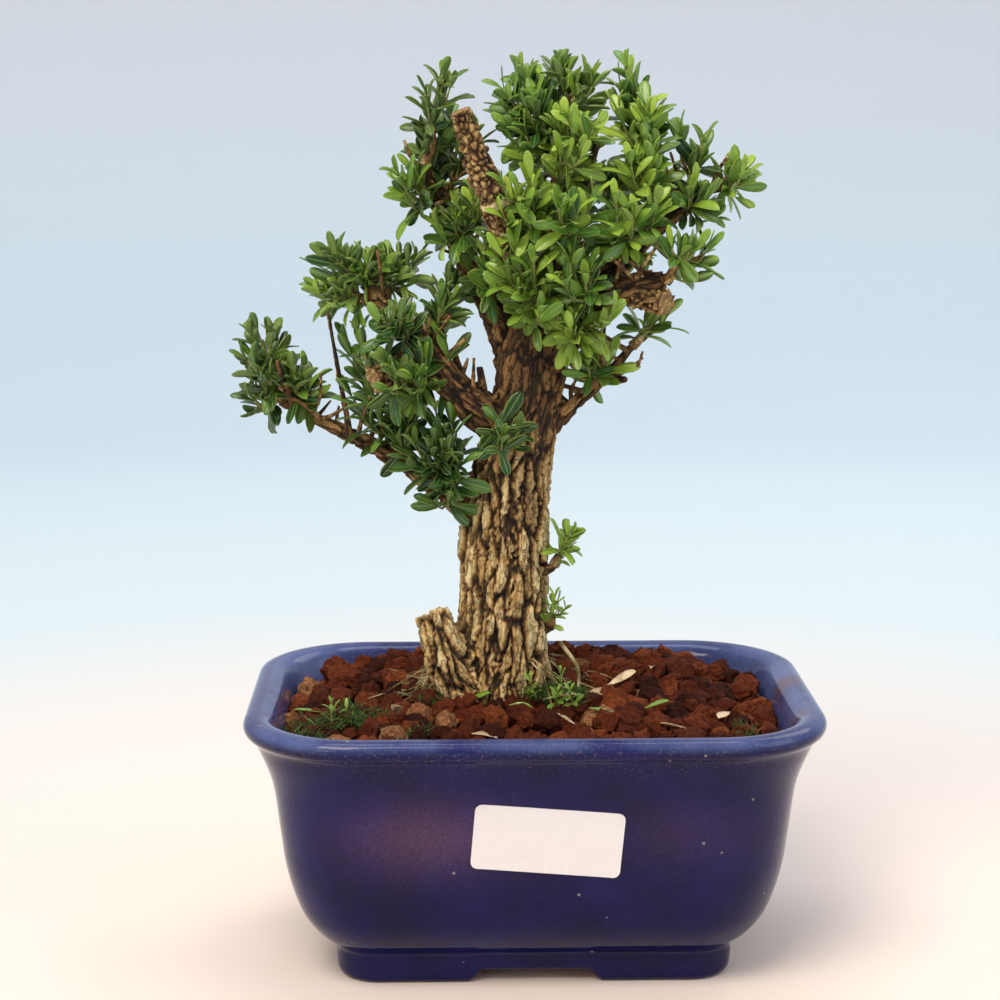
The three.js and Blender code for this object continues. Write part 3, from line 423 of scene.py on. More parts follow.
# %% Pot
DRAIN_X, DRAIN_RADIUS, DRILL_LENGTH, DRILL_SIDES = 30, 6, 30, 48
pot = make_piece(
    "glazed_pot", points, ring_faces(len(section), sides), glaze, slot="glaze", replaces=["pot"],
    attributes={
        "thin_glaze": np.where(outside, np.maximum(lip * 0.8, neck), np.maximum(lip, 0.8)),
        "bare_clay": np.clip((BARE_BELOW_Z - (z - lift)) / 0.3, 0, 1) * foot,
        "dusty": 0.06 + 0.4 * np.clip((z - DUST_FROM_Z) / 12, 0, 1),
        "stained": stained,
        "painted_reflection": reflection_patch * outside,
    },
)
for x in (-DRAIN_X, DRAIN_X):
    bpy.ops.mesh.primitive_cylinder_add(
        vertices=DRILL_SIDES, radius=DRAIN_RADIUS * MM, depth=DRILL_LENGTH * MM,
        location=Vector(np.array([x, 0, POT_FLOOR / 2]) * MM + POT_MIDDLE),
    )
    drill = bpy.context.object
    cut = pot.modifiers.new("drain_hole", "BOOLEAN")
    cut.object, cut.solver = drill, "EXACT"
    bpy.context.view_layer.objects.active = pot
    bpy.ops.object.modifier_apply(modifier=cut.name)
    bpy.data.objects.remove(drill)

# %% [markdown]
# ## The blank label
#
# A coated paper label is stuck to the front a little askew. Paper this thin follows the glaze
# and shows only by its rounded corners, its faint edge and its flat white. It is blank.

# %% Paper
paper = new_material("coated_paper", Roughness=0.45, IOR=1.45)
place = add_node(paper, "TexCoord", out="Object")
fibre = add_node(paper, "TexNoise", {"Vector": place, "Scale": 2.5 / MM, "Detail": 5.0})
tint = add_node(paper, "ValToRGB", {"Fac": fibre}, stops=[(0.4, "#ebe6e6"), (0.6, "#e3dedf")])
bump = add_node(paper, "Bump", {"Height": fibre, "Strength": 0.15, "Distance": 0.05 * MM})
connect(paper, Base_Color=tint, Normal=bump)

# %% Where the back of the label lies
LABEL_WIDTH, LABEL_HEIGHT, LABEL_CORNER, LABEL_THICKNESS = 45.7, 21.2, 2.2, 0.35
LABEL_X, LABEL_Z, LABEL_TURN = 2.9, 52.8, math.radians(-4.7)
CURL_LIFT, CURL_FROM_X, CURL_FROM_Z = 0.3, 19, 7  # mm that the corners lift, and where that begins
PRESSED = 0.05  # mm from the glaze to the back of the paper

wall = section[: np.argmax(section[:, 0])]
wall = wall[np.argsort(wall[:, 0])]
corner_steps = LABEL_WIDTH / 2 - LABEL_CORNER * (1 - np.sin(np.linspace(0, np.pi / 2, 7)))
columns = np.concatenate([-corner_steps[::-1], np.linspace(-20, 20, 21), corner_steps])
up = np.linspace(-1, 1, 15)
across = np.repeat(columns, len(up))
past_corner = np.clip(np.abs(across) - (LABEL_WIDTH / 2 - LABEL_CORNER), 0, LABEL_CORNER)
half_height = LABEL_HEIGHT / 2 - LABEL_CORNER + np.sqrt(LABEL_CORNER ** 2 - past_corner ** 2)
high = np.tile(up, len(columns)) * half_height
x = LABEL_X + across * math.cos(LABEL_TURN) - high * math.sin(LABEL_TURN)
z = LABEL_Z + across * math.sin(LABEL_TURN) + high * math.cos(LABEL_TURN)
in_front = POT_HALF_DEPTH - POT_HALF_LENGTH + np.interp(z, wall[:, 0], wall[:, 1])
past_x, past_z = (np.abs(across) - CURL_FROM_X) / 3, (np.abs(high) - CURL_FROM_Z) / 4
curl = CURL_LIFT * np.clip(past_x, 0, 1) * np.clip(past_z, 0, 1)
back = np.column_stack([x, -in_front - PRESSED - curl, z])
print("the label reaches from", z.min().round(1), "to", z.max().round(1), "mm up")

# %% Label
i, j = np.meshgrid(np.arange(len(columns) - 1), np.arange(len(up) - 1), indexing="ij")
a = (i * len(up) + j).ravel()
sheet = np.stack([a, a + len(up), a + len(up) + 1, a + 1], 1)
rim = [k * len(up) for k in range(len(columns))]
rim += [rim[-1] + k for k in range(1, len(up))]
rim += [rim[-1] - k * len(up) for k in range(1, len(columns))]
rim += [rim[-1] - k for k in range(1, len(up) - 1)]
behind = len(back)
edge = [[p, p + behind, q + behind, q] for p, q in zip(rim, rim[1:] + rim[:1])]
make_piece(
    "blank_label", np.vstack([back - [0, LABEL_THICKNESS, 0], back]),
    sheet.tolist() + (sheet[:, ::-1] + behind).tolist() + edge, paper, slot="paper", replaces=["label"],
    smooth=False,
)

# %% [markdown]
# ## Screens over the drain holes
#
# A square of plastic mesh keeps the granules from falling out. Extruded mesh is two layers of
# round strands, the upper ones crossing the lower ones, and it is only seen through the holes.

# %% Drain screens
SCREEN_SIZE, STRAND_RADIUS, STRAND_APART = 21.6, 0.3, 2.9
mesh_plastic = new_material("black_polyethylene_mesh", Roughness=0.5, IOR=1.5)
place = add_node(mesh_plastic, "TexCoord", out="Object")
grime = add_node(mesh_plastic, "TexNoise", {"Vector": place, "Scale": 0.4 / MM})
tint = add_node(
    mesh_plastic, "ValToRGB", {"Fac": grime}, stops=[(0.4, "#202422"), (0.7, "#4a4038")],
)
connect(mesh_plastic, Base_Color=tint)

for side, name in ((-1, "drain_screen_left"), (1, "drain_screen_right")):
    screen = Bundle()
    for offset in np.arange(-3.5, 4) * STRAND_APART:
        for turned in (False, True):
            z = POT_FLOOR + 0.4 + STRAND_RADIUS * (2.6 if turned else 1)
            path = np.array([[reach * SCREEN_SIZE / 2, offset, z] for reach in (-1, 0, 1)])
            path = path[:, [1, 0, 2]] if turned else path
            screen.add(*tube(path + [side * DRAIN_X, 0, 0], STRAND_RADIUS, 8))
    screen.make(name + "_mesh", mesh_plastic, slot="screen_plastic", replaces=[name])

# %% [markdown]
# ## Baked clay granules
#
# Bonsai soil is a mix of baked clay and crushed brick, sieved between three and nine
# millimetres. Each granule is a crumbly lump with worn corners: a sphere is cut by a few random
# planes, and short waves and a little jitter roughen it. Larger granules get a finer sphere.
# Fired clay is matt and full of pores, and each granule has a tone of its own, from dark brown
# to brick red.

# %% Granule material
GRAIN_PER_MM, PORES_PER_MM = 0.8, 1.6

granule_clay = new_material("baked_clay_granules", Roughness=0.95, IOR=1.45, Specular_IOR_Level=0.2)
place = add_node(granule_clay, "TexCoord", out="Object")
mm_place = add_node(granule_clay, "Mapping", {"Vector": place, "Scale": [1 / MM] * 3})
tone = add_node(granule_clay, "Attribute", out="Fac", attribute_name="tone")
colour = add_node(
    granule_clay, "ValToRGB", {"Fac": tone},
    stops=[(0.0, "#35140a"), (0.5, "#6d3118"), (0.86, "#8c4824"), (1.0, "#ab7850")],
)
grain = add_node(
    granule_clay, "TexNoise",
    {"Vector": mm_place, "Scale": GRAIN_PER_MM, "Detail": 7.0, "Roughness": 0.72},
)
mottle = add_node(granule_clay, "MapRange", {0: grain, 1: 0.4, 2: 0.62, 3: 0.6, 4: 0.0})
pore = add_node(granule_clay, "TexVoronoi", {"Vector": mm_place, "Scale": PORES_PER_MM}, out="Distance")
pore_share = add_node(granule_clay, "MapRange", {0: pore, 1: 0.12, 2: 0.3, 3: 0.85, 4: 0.0})
for share, hex_colour in ((mottle, "#280f09"), (pore_share, "#190b07")):
    colour = add_node(
        granule_clay, "Mix", {0: share, 6: colour, 7: linear(hex_colour)}, out=2, data_type="RGBA",
    )
rough = add_node(granule_clay, "Math", {0: grain, 1: pore_share}, operation="SUBTRACT")
bump = add_node(granule_clay, "Bump", {"Height": rough, "Strength": 1.0, "Distance": 0.7 * MM})
connect(granule_clay, Base_Color=colour, Normal=bump)

# %% Where the soil's surface lies
SOIL_MOUND = [[1, 77.5], [0.86, 79], [0.62, 81.5], [0.36, 84.5], [0.16, 86.5], [0, 87]]
SOIL_HALF_LENGTH, SOIL_HALF_DEPTH = 79.2, 54.2
BACK_RISE = 0.12  # behind the trunk the mound climbs this much per millimetre
SOIL_BOTTOM = POT_FLOOR + 2


def soil_share(x, y):
    """0 over the middle of the pot and 1 at its wall."""
    return ((x / SOIL_HALF_LENGTH) ** 4 + (y / SOIL_HALF_DEPTH) ** 4) ** 0.25


def soil_height(x, y):
    """The height of the mound of granules, which is heaped up behind the trunk."""
    shares, heights = np.array(SOIL_MOUND)[::-1].T
    share = soil_share(x, y)
    return np.interp(share, shares, heights) + BACK_RISE * np.maximum(0, y) * (1 - share ** 4)


print("the mound is", soil_height(0, 0), "mm high in the middle")

# %% [markdown]
# The granules are laid by dart throwing, the largest first. A dart that lands too near another
# is thrown away, so the layer comes out packed but uneven, as it does from a scoop. A second,
# smaller size fills the gaps, and a bed under them closes whatever is left. The bed is painted
# dark, as painted shade in the gaps between the granules.

# %% Where the granules lie
GRANULE_SEED = 11
TRUNK_X, TRUNK_OVAL = -11.5, 1.1  # where the trunk stands, and its width as a share of its depth
TRUNK_ROOM = 15.5  # mm from the trunk's axis that no granule lies in
WALL_ROOM = 280  # a granule's size over this is the share of the way to the wall that it keeps free
BED_BELOW = 3.6  # mm from the mound down to the bed
PILED = 3.6  # mm that the loose granules stand above the mound near the trunk
COARSE, FINE = (5.2, 9.4, 800, 0.38), (2.8, 5.2, 1500, 0.35)  # smallest, largest, darts, closeness
chance = np.random.default_rng(GRANULE_SEED)


def throw_granules(smallest, largest, darts, closeness, placed):
    """Adds granules, the largest first, clear of each other and of those placed before."""
    for size in np.sort(chance.uniform(smallest, largest, darts))[::-1]:
        tries = chance.uniform(-1, 1, (60, 2)) * [SOIL_HALF_LENGTH, SOIL_HALF_DEPTH]
        clear = soil_share(*tries.T) < 1 - size / WALL_ROOM
        clear &= np.hypot((tries[:, 0] - TRUNK_X) / TRUNK_OVAL, tries[:, 1]) > TRUNK_ROOM
        apart = np.linalg.norm(tries[:, None] - placed[:, :2], axis=2)
        clear &= np.all(apart > closeness * (placed[:, 2] + size), axis=1)
        if clear.any():
            placed = np.vstack([placed, [*tries[np.argmax(clear)], size]])
    return placed


def loose_height(x, y):
    """The height of the loose granules, which pile up near the trunk."""
    return soil_height(x, y) + PILED * (1 - soil_share(x, y) ** 3) * np.clip(0.75 + y / 24, 0.3, 2.2)


coarse = throw_granules(*COARSE, np.zeros((0, 3)))
fine = throw_granules(*FINE, coarse)[len(coarse):]
print(len(coarse), "large and", len(fine), "small granules")

# %% Granules
FLATS, FLAT_REACH = 7, (0.58, 0.92)  # how many planes cut a granule, and how near its middle
CRUMB_WAVES, CRUMB_PITCH, CRUMB_RISE = 5, 11, 0.045
SHORTER, SHORTEST = (0.72, 1), (0.6, 0.9)  # the two shorter sides of a granule
GRANULE_HALF = 0.62  # how far a granule reaches from its middle, as a share of its size
PALE_SHARE = 0.03


def lumps(count, level):
    """Lumps about one across: a sphere with worn flats, each one different and turned its own way."""
    bpy.ops.mesh.primitive_ico_sphere_add(subdivisions=level, radius=1)
    ball = bpy.context.object
    sphere = np.array([vertex.co[:] for vertex in ball.data.vertices])
    faces = np.array([face.vertices[:] for face in ball.data.polygons])
    bpy.data.objects.remove(ball)
    shapes = np.broadcast_to(sphere, (count,) + sphere.shape).copy()
    for _ in range(FLATS):
        normals = unit(chance.normal(size=(count, 1, 3)))
        reach = (shapes * normals).sum(-1, keepdims=True)
        shapes -= normals * np.maximum(reach - chance.uniform(*FLAT_REACH, (count, 1, 1)), 0)
    for _ in range(CRUMB_WAVES):
        wave = unit(chance.normal(size=(count, 3)))[..., None] * CRUMB_PITCH
        shapes *= 1 + CRUMB_RISE * np.sin(shapes @ wave + chance.uniform(0, 6.3, (count, 1, 1)))
    shapes *= 1 + CRUMB_RISE * chance.normal(size=shapes.shape[:2] + (1,))
    flatness = [np.ones(count), chance.uniform(*SHORTER, count), chance.uniform(*SHORTEST, count)]
    first = unit(chance.normal(size=(count, 3)))
    second = unit(np.cross(first, chance.normal(size=(count, 3))))
    axes = np.stack([first, second, np.cross(first, second)], 1)
    return np.einsum("nij,njk->nik", shapes * np.stack(flatness, -1)[:, None] * GRANULE_HALF, axes), faces


for name, granules, level, sink in (("granules_coarse", coarse, 3, 0.28), ("granules_fine", fine, 2, 1.0)):
    x, y, size = granules.T
    shapes, faces = lumps(len(x), level)
    height = loose_height(x, y) - sink * size + chance.normal(0, 1.0, len(x))
    shapes = shapes * size[:, None, None] + np.stack([x, y, height], -1)[:, None]
    tones = np.repeat(np.clip(chance.normal(0.42, 0.26, len(x)), 0, 1), shapes.shape[1])
    tones[np.repeat(chance.uniform(size=len(x)) < PALE_SHARE, shapes.shape[1])] = 1
    faces = (faces[None] + np.arange(len(x))[:, None, None] * shapes.shape[1]).reshape(-1, 3)
    make_piece(
        name, shapes.reshape(-1, 3), faces.tolist(), granule_clay, slot="granules", smooth=False,
        attributes={"tone": tones},
    )

# %% The bed under the granules
# the bed's dark tone is painted shade for the gaps between the granules
BED_STEPS, BED_SHADE_TONE = 48, 0.1
BED_FLOOR = [62, 38]  # half length and half depth of the bed where it rests on the pot's floor
FLOOR_SHARES, TOP_SHARES = (0.05, 0.5, 0.86), (0.985, 0.86, 0.62, 0.36, 0.16, 0.04)
turn = np.linspace(0, 2 * np.pi, BED_STEPS, endpoint=False)
outline = np.stack([np.sign(wave) * np.abs(wave) ** 0.5 for wave in (np.cos(turn), np.sin(turn))], -1)
bed_rings = []
for share in FLOOR_SHARES:
    bed_rings.append(np.column_stack([outline * BED_FLOOR * share, np.full(BED_STEPS, SOIL_BOTTOM)]))
for share in TOP_SHARES:
    x, y = (outline * [SOIL_HALF_LENGTH, SOIL_HALF_DEPTH] * share).T
    bed_rings.append(np.column_stack([x, y, soil_height(x, y) - BED_BELOW]))
bed = Bundle()
bed.add(np.vstack(bed_rings), ring_faces(len(bed_rings), BED_STEPS), tone=BED_SHADE_TONE)
bed.make("soil_bed", granule_clay, slot="granules", replaces=["soil"])

# %% [markdown]
# ## How the tree is laid out
#
# The tree's own measures follow: the trunk's sections, and for each limb its route, its
# thickness and the tips of the leafy shoots on it. Each pair or triple of tips is one spray: its
# twig leaves the limb at the place nearest to a point below the leaves, and forks a shoot's
# length before the tips.

# %% The trunk, the limbs and the tips of the sprays
TRUNK = [  # x, y, height, half width, half depth
    [-10, 0, 56, 13, 12],
    [-11, 0, 78, 16, 14.5],
    [-11.5, 0, 87, 17, 15.4],
    [-10.2, 0, 97, 15.2, 14.2],
    [-9, 0, 115, 13.8, 13.4],
    [-8.4, 0, 136, 13.8, 13.2],
    [-7, 0, 158, 12.6, 11.8],
    [-2.9, 0, 178, 11.2, 10],
    [0, 0, 195, 11.4, 9.6],
    [3, 1, 208, 8, 7],
]
LIMBS = {
    "crown_left": {
        "route": [[-4, 2, 187], [-10, 6, 204], [-19, 8, 221], [-28, 6, 239], [-34, 2, 253]],
        "radius": [6, 2],
        "sprays": [
            [[-40, -6, 259], [-45, -10, 243]], [[-27, 8, 275], [-33, 20, 254]],
            [[-26, -4, 289], [-30, 4, 283]], [[-17, 10, 270], [-21, 16, 256]],
            [[-17, -14, 250], [-28, -10, 240]], [[-20, -6, 230], [-11, -18, 238]],
        ],
    },
    "leader": {
        "route": [[3, 0, 198], [7, 2, 217], [9, 4, 232], [10, 2, 250], [9, 0, 268]],
        "radius": [7, 2.2],
        "sprays": [
            [[-8, -2, 288], [-13, -10, 277]], [[10, 0, 292], [-1, 12, 285]], [[20, 5, 287], [14, -12, 281]],
            [[-3, -18, 280], [-9, -18, 265]], [[6, -34, 261], [15, -30, 259]],
            [[19, -26, 268], [8, -24, 273]], [[6, -40, 248], [20, -38, 250]],
            [[-11, -32, 248], [-3, -36, 256]], [[-6, -33, 220], [-1, -26, 211]],
        ],
    },
    "crown_right": {
        "route": [[6, -2, 199], [15, -4, 210], [28, -2, 224], [42, 0, 237], [56, 0, 247]],
        "radius": [5.5, 1.8],
        "sprays": [
            [[26, 0, 292], [29, 4, 284]], [[33, -14, 277], [22, -14, 278]], [[35, -22, 265], [26, -28, 260]],
            [[43, -2, 272], [52, 4, 262]], [[64, -6, 255], [70, 4, 245]], [[50, -18, 252], [63, -4, 234]],
            [[40, -28, 248], [30, -37, 243], [22, -38, 248]],
        ],
    },
    "corky_right": {
        "route": [[5, -4, 194], [14, -10, 206], [26, -16, 216], [40, -19, 219]],
        "radius": [6, 3.8],
        "sprays": [
            [[14, -36, 222], [7, -34, 232]], [[23, -28, 206], [11, -32, 210]],
            [[56, -12, 229], [38, -30, 235]],
        ],
    },
    "left_main": {
        "route": [
            [-5, -2, 166], [-18, -7, 179], [-29, -10, 190], [-37, -10, 201], [-43, -8, 208], [-48, -6, 213],
        ],
        "radius": [7.5, 3],
        "sprays": [
            [[-66, -8, 233], [-72, 2, 229]], [[-59, 7, 229], [-53, -12, 231]],
            [[-36, 6, 229], [-47, 4, 232]], [[-25, 10, 223], [-25, -8, 218]],
            [[-71, 0, 217], [-61, -10, 216]], [[-44, -28, 213], [-53, -26, 209]],
            [[-47, -30, 194], [-40, -30, 187]], [[-31, -14, 209], [-26, -18, 198]],
            [[-12, -30, 177], [-4, -26, 171]],
        ],
    },
    "left_low": {
        "route": [[-14, 2, 139], [-33, 2, 154], [-47, 4, 163], [-61, 5, 170], [-71, 4, 175], [-79, 3, 180]],
        "radius": [4.5, 1.5],
        "sprays": [
            [[-90, 0, 210], [-82, 8, 207]], [[-92, -4, 199], [-85, -9, 193]],
            [[-93, 0, 180], [-84, 10, 184]], [[-75, -8, 195], [-72, 6, 197]],
            [[-46, 8, 181], [-40, -12, 166]], [[-32, -20, 175], [-21, -23, 166]],
            [[-36, -14, 147], [-27, -18, 151]],
        ],
    },
    "right_thin": {
        "route": [[2, 2, 166], [14, 0, 180], [23, -3, 188], [31, -6, 198]],
        "radius": [3.1, 1.3],
        "sprays": [
            [[38, -13, 213], [49, -2, 212]], [[15, -12, 197], [26, -18, 199]],
        ],
    },
    "trunk_sprout": {
        "route": [[-1, -4, 124], [6, -5, 127], [8, -6, 129]],
        "radius": [2, 1.2],
        "sprays": [
            [[11, -9, 145], [15, -3, 138]],
        ],
    },
    "low_sprout": {
        "route": [[-1, -4, 104], [6, -4, 107], [7.5, -4, 108]],
        "radius": [1.8, 1.1],
        "sprays": [
            [[7.5, -4, 121], [10.5, -2, 116]],
        ],
    },
    "crown_back": {
        "route": [[3, 4, 197], [6, 18, 214], [9, 30, 230], [10, 36, 247]],
        "radius": [6, 2],
        "sprays": [
            [[3, 26, 284], [-10, 28, 271]], [[18, 32, 281], [28, 36, 271]], [[11, 47, 266], [-4, 45, 255]],
            [[24, 48, 255], [37, 42, 245]], [[-16, 34, 252], [-23, 28, 238]], [[42, 28, 262], [55, 24, 251]],
            [[6, 46, 232], [22, 44, 230]], [[43, 34, 232], [36, 24, 220]], [[-17, 28, 226], [-2, 34, 214]],
        ],
    },
}
STUBS = [  # start, end, and the radius at each
    [[-2, -10, 214], [-12, -23, 243], 4.2, 4.6],
    [[-12, -23, 243], [-23, -28, 271], 4.6, 3.4],
    [[-36, -8, 198], [-50, -18, 189], 3.4, 4.4],
    [[-58, 3, 169], [-64, -10, 209], 1.0, 0.6],
    [[-75, 4, 176], [-80, -10, 194], 1.3, 0.9],
    [[-20, -6, 182], [-25, 0, 196], 1.8, 1.1],
    [[-14, -6, 176], [-17, -9, 192], 2, 1.2],
    [[26, -4, 189], [29, -9, 188], 1.5, 1.1],
    [[28, -14, 217], [40, -25, 213], 3.6, 4.4],
    [[13, 3, 240], [19, -20, 262], 2, 1.1],
]
ROOT_STUB_ROUTE = [[-16, -6, 78], [-25, -9, 92], [-29, -9, 104], [-32, -8, 113]]
ROOT_STUB_RADIUS = [10, 5.2]
print(len(LIMBS), "limbs and", len(STUBS), "stubs")

# %% [markdown]
# ## The wood
#
# The trunk, limbs, cut stubs and the stub of a thick root grew as one, so their tubes are laid
# through each other and a voxel remesh welds them into one skin with soft crotches. Every point
# of the skin then learns where it lies on its own branch: two distances across and one along.
# Bark follows the branch, so all its patterns are made in those three numbers.

# %% The tubes of the wood
WOOD_VOXEL = 0.55
TRUNK_SIDES, LIMB_SIDES, STUB_SIDES, ROOT_SIDES = 48, 18, 16, 24
FLARE_LOW, FLARE_HIGH = 74, 98  # mm up, between which the trunk's foot spreads
WHOLE_STUB = 2.5  # mm: a thicker stub is an old cut, with lumpy cork round it
skin = Bundle()
wood = []  # for each part of the wood: its path, its radii, how far it is old trunk, how far a cut stub


def tapering(points, radius, step=2.0):
    """A smooth path and its radius at each point, which swells and shrinks a little."""
    path = smooth_curve(points, step)
    knots = np.array([noise.noise(Vector(point / 7.0)) for point in path])
    return path, np.linspace(*radius, len(path)) * (1 + 0.16 * knots)


trunk_table = np.array(TRUNK, float)
heights = np.arange(trunk_table[0, 2], trunk_table[-1, 2], 2.0)
x, y, half_width, half_depth = (
    np.interp(heights, trunk_table[:, 2], trunk_table[:, column]) for column in (0, 1, 3, 4)
)
turn = np.arange(TRUNK_SIDES) * 2 * np.pi / TRUNK_SIDES
strands = 0.05 * np.sin(3 * turn + heights[:, None] / 24) + 0.035 * np.sin(9 * turn - heights[:, None] / 19)
flare = 0.17 * np.clip((FLARE_HIGH - heights) / 20, 0, 1)[:, None] * (0.5 + 0.5 * np.cos(4 * turn + 0.7))
reach = 1 + strands + flare * (heights[:, None] > FLARE_LOW)
rings = np.stack([
    x[:, None] + half_width[:, None] * reach * np.cos(turn),
    y[:, None] + half_depth[:, None] * reach * np.sin(turn),
    np.broadcast_to(heights[:, None], reach.shape),
], -1)
skin.add(rings.reshape(-1, 3), ring_faces(len(heights), TRUNK_SIDES))
wood.append((np.column_stack([x, y, heights]), (half_width + half_depth) / 2, 1.0, 0.0))

limb_paths = {}
for name, limb in LIMBS.items():
    limb_paths[name] = tapering(limb["route"], limb["radius"])
    skin.add(*tube(*limb_paths[name], LIMB_SIDES))
    wood.append((*limb_paths[name], 0.0, 0.0))
for start, end, start_radius, end_radius in STUBS:
    middle = (np.array(start) + end) / 2 + [0, 0, -1.0]
    path, radii = tapering([start, middle, end], [start_radius, end_radius])
    skin.add(*tube(path, radii, STUB_SIDES))
    wood.append((path, radii, 0.0, float(start_radius > WHOLE_STUB)))
path, radii = tapering(ROOT_STUB_ROUTE, ROOT_STUB_RADIUS)
skin.add(*tube(path, radii, ROOT_SIDES))
wood.append((path, radii, 1.0, 0.0))
print(len(wood), "tubes")

# %% The wood's smooth skin
raw = skin.make("wood_raw", None)
weld = raw.modifiers.new("weld", "REMESH")
weld.mode, weld.voxel_size = "VOXEL", WOOD_VOXEL * MM
bpy.context.view_layer.objects.active = raw
bpy.ops.object.modifier_apply(modifier="weld")


def read_vectors(data, field):
    """The vectors held by the points of a mesh, as an array."""
    values = np.empty(len(data) * 3, np.float32)
    data.foreach_get(field, values)
    return values.reshape(-1, 3).astype(float)


surface = (read_vectors(raw.data.vertices, "co") - POT_MIDDLE) / MM
normals = read_vectors(raw.data.vertex_normals, "vector")
wood_faces = np.array([face.vertices[:] for face in raw.data.polygons])
bpy.data.objects.remove(raw)
print("the welded wood has", len(surface), "points")

# %% [markdown]
# ## Where each point lies on its branch
#
# The nearest branch is the one whose bark is nearest, not the one whose axis is, or a thick trunk
# would lose its own surface to the thin branches that leave it.

# %% Places along the branches
BRANCH_STEP = 60.0  # mm between the numbering of one branch and the next
OLD_BARK_TOP, OLD_BARK_FADE = 182, 22  # mm up where the plates of the trunk end, and how slowly
THIN_WOOD, FULL_WOOD = 1.0, 3.5  # the radius where ridges begin, and where they are at their highest
BLOCKS = 300  # so many that the distances of one block fit in memory
paths, all_radii, old, cut = zip(*wood)
centres, radii_here = np.vstack(paths), np.concatenate(all_radii)
owner = np.repeat(np.arange(len(paths)), [len(path) for path in paths])
frames = np.stack([np.vstack(part) for part in zip(*[frames_along(path) for path in paths])])
lengths = []
for path in paths:
    steps = np.linalg.norm(np.diff(path, axis=0), axis=1)
    lengths.append(np.concatenate([[0], np.cumsum(steps)]))
full_length = np.array([steps[-1] for steps in lengths])
lengths = np.concatenate(lengths)
nearest = []
for block in np.array_split(surface, BLOCKS):
    nearest.append(np.argmin(np.linalg.norm(block[:, None] - centres, axis=2) - radii_here, axis=1))
nearest = np.concatenate(nearest)
offset = surface - centres[nearest]
along, first, second = ((offset * axes[nearest]).sum(1) for axes in frames)
branch = owner[nearest]
along += lengths[nearest]
branch_place = np.column_stack([first, second, along + branch * BRANCH_STEP])
old_trunk = np.array(old)[branch] * np.clip((OLD_BARK_TOP - surface[:, 2]) / OLD_BARK_FADE, 0, 1)
lumpy = np.array(cut)[branch]
cut_face = lumpy * np.clip((along - full_length[branch] + 0.3) / 0.5, 0, 1)
thick = np.clip((radii_here[nearest] - THIN_WOOD) / (FULL_WOOD - THIN_WOOD), 0, 1)
print(round(old_trunk.mean() * 100), "% of the skin is old trunk")

# %% [markdown]
# ## Bark
#
# Old box bark cracks into upright plates, and the branches get long corky ridges. Both are cells:
# the distance to the nearest seed of a scattered set, less the distance to the next nearest, is
# nought along the cracks. The seeds are stretched along the branch, so that cells become long
# plates. Each plate stands at a height of its own and tilts, as a flake does before it falls, and
# a finer set of cells breaks the plates up again.

# %% Cells and noise
def smooth_step(value, low, high):
    """0 below low, 1 above high, and soft between them."""
    share = np.clip((value - low) / (high - low), 0, 1)
    return share * share * (3 - 2 * share)


def cells(points, apart, seed):
    """For each point: how far it is from the edge of its cell, the cell's number, and its seed."""
    draw = np.random.default_rng(seed)
    low, high = points.min(0) - apart * 2, points.max(0) + apart * 2
    grid = np.stack(np.meshgrid(*[np.arange(a, b, apart) for a, b in zip(low, high)], indexing="ij"), -1)
    seeds = grid.reshape(-1, 3) + draw.uniform(-0.45, 0.45, (grid.size // 3, 3)) * apart
    tones = draw.uniform(0, 1, len(seeds))
    tree = kdtree.KDTree(len(seeds))
    for i, place in enumerate(seeds):
        tree.insert(place, i)
    tree.balance()
    found = [tree.find_n(point, 2) for point in points]
    edge = np.array([second[2] - first[2] for first, second in found])
    nearest = np.array([first[1] for first, _ in found])
    return edge, tones[nearest], points - seeds[nearest]


def noise_at(points, scale, seed=0.0):
    """Smooth noise from -1 to 1 at each point, with features of the given size."""
    return np.array([noise.noise(Vector(point)) for point in points / scale + seed])


print("noise at the first point of the bark:", noise_at(branch_place[:1], 9)[0].round(3))

# %% The cells of the bark
BARK_SEED = 5
PLATE_WIDTH, PLATE_STRETCH, CHIP_WIDTH, CHIP_STRETCH = 3.3, 6.0, 2.0, 2.6  # mm, and times as long
RIDGE_WIDTH, RIDGE_STRETCH, LUMP_WIDTH = 2.2, 4.5, 2.3
WANDER, RAGGED = [1.6, 1.6, 4.0], 0.45  # mm that the cells stray, slowly and at their edges

wander = np.stack([noise_at(branch_place, 9, s) for s in (0.0, 31.7, 67.3)], -1)
ragged = np.stack([noise_at(branch_place, 1.5, s) for s in (3.1, 41.9)], -1)
bent = branch_place + wander * WANDER
bent[:, :2] += ragged * RAGGED
plate_edge, plate_tone, plate_place = cells(bent / [1, 1, PLATE_STRETCH], PLATE_WIDTH, BARK_SEED)
chip_edge, chip_tone, _ = cells(bent / [1, 1, CHIP_STRETCH], CHIP_WIDTH, BARK_SEED + 2)
ridge_edge, ridge_tone, _ = cells(bent / [1, 1, RIDGE_STRETCH], RIDGE_WIDTH, BARK_SEED + 1)
lump_edge, lump_tone, _ = cells(branch_place + wander, LUMP_WIDTH, BARK_SEED + 3)
print("there are", len(np.unique(plate_tone)), "plates")

# %% Bark relief
FISSURE_DEPTH, CHIP_DEPTH, RIDGE_DEPTH, LUMP_DEPTH = 1.6, 0.5, 0.95, 1.1  # mm
CROWN_SHADE_FROM, CROWN_SHADE_FULL = 150, 178  # mm up, where the bark begins to be painted darker, as painted shade under the crown

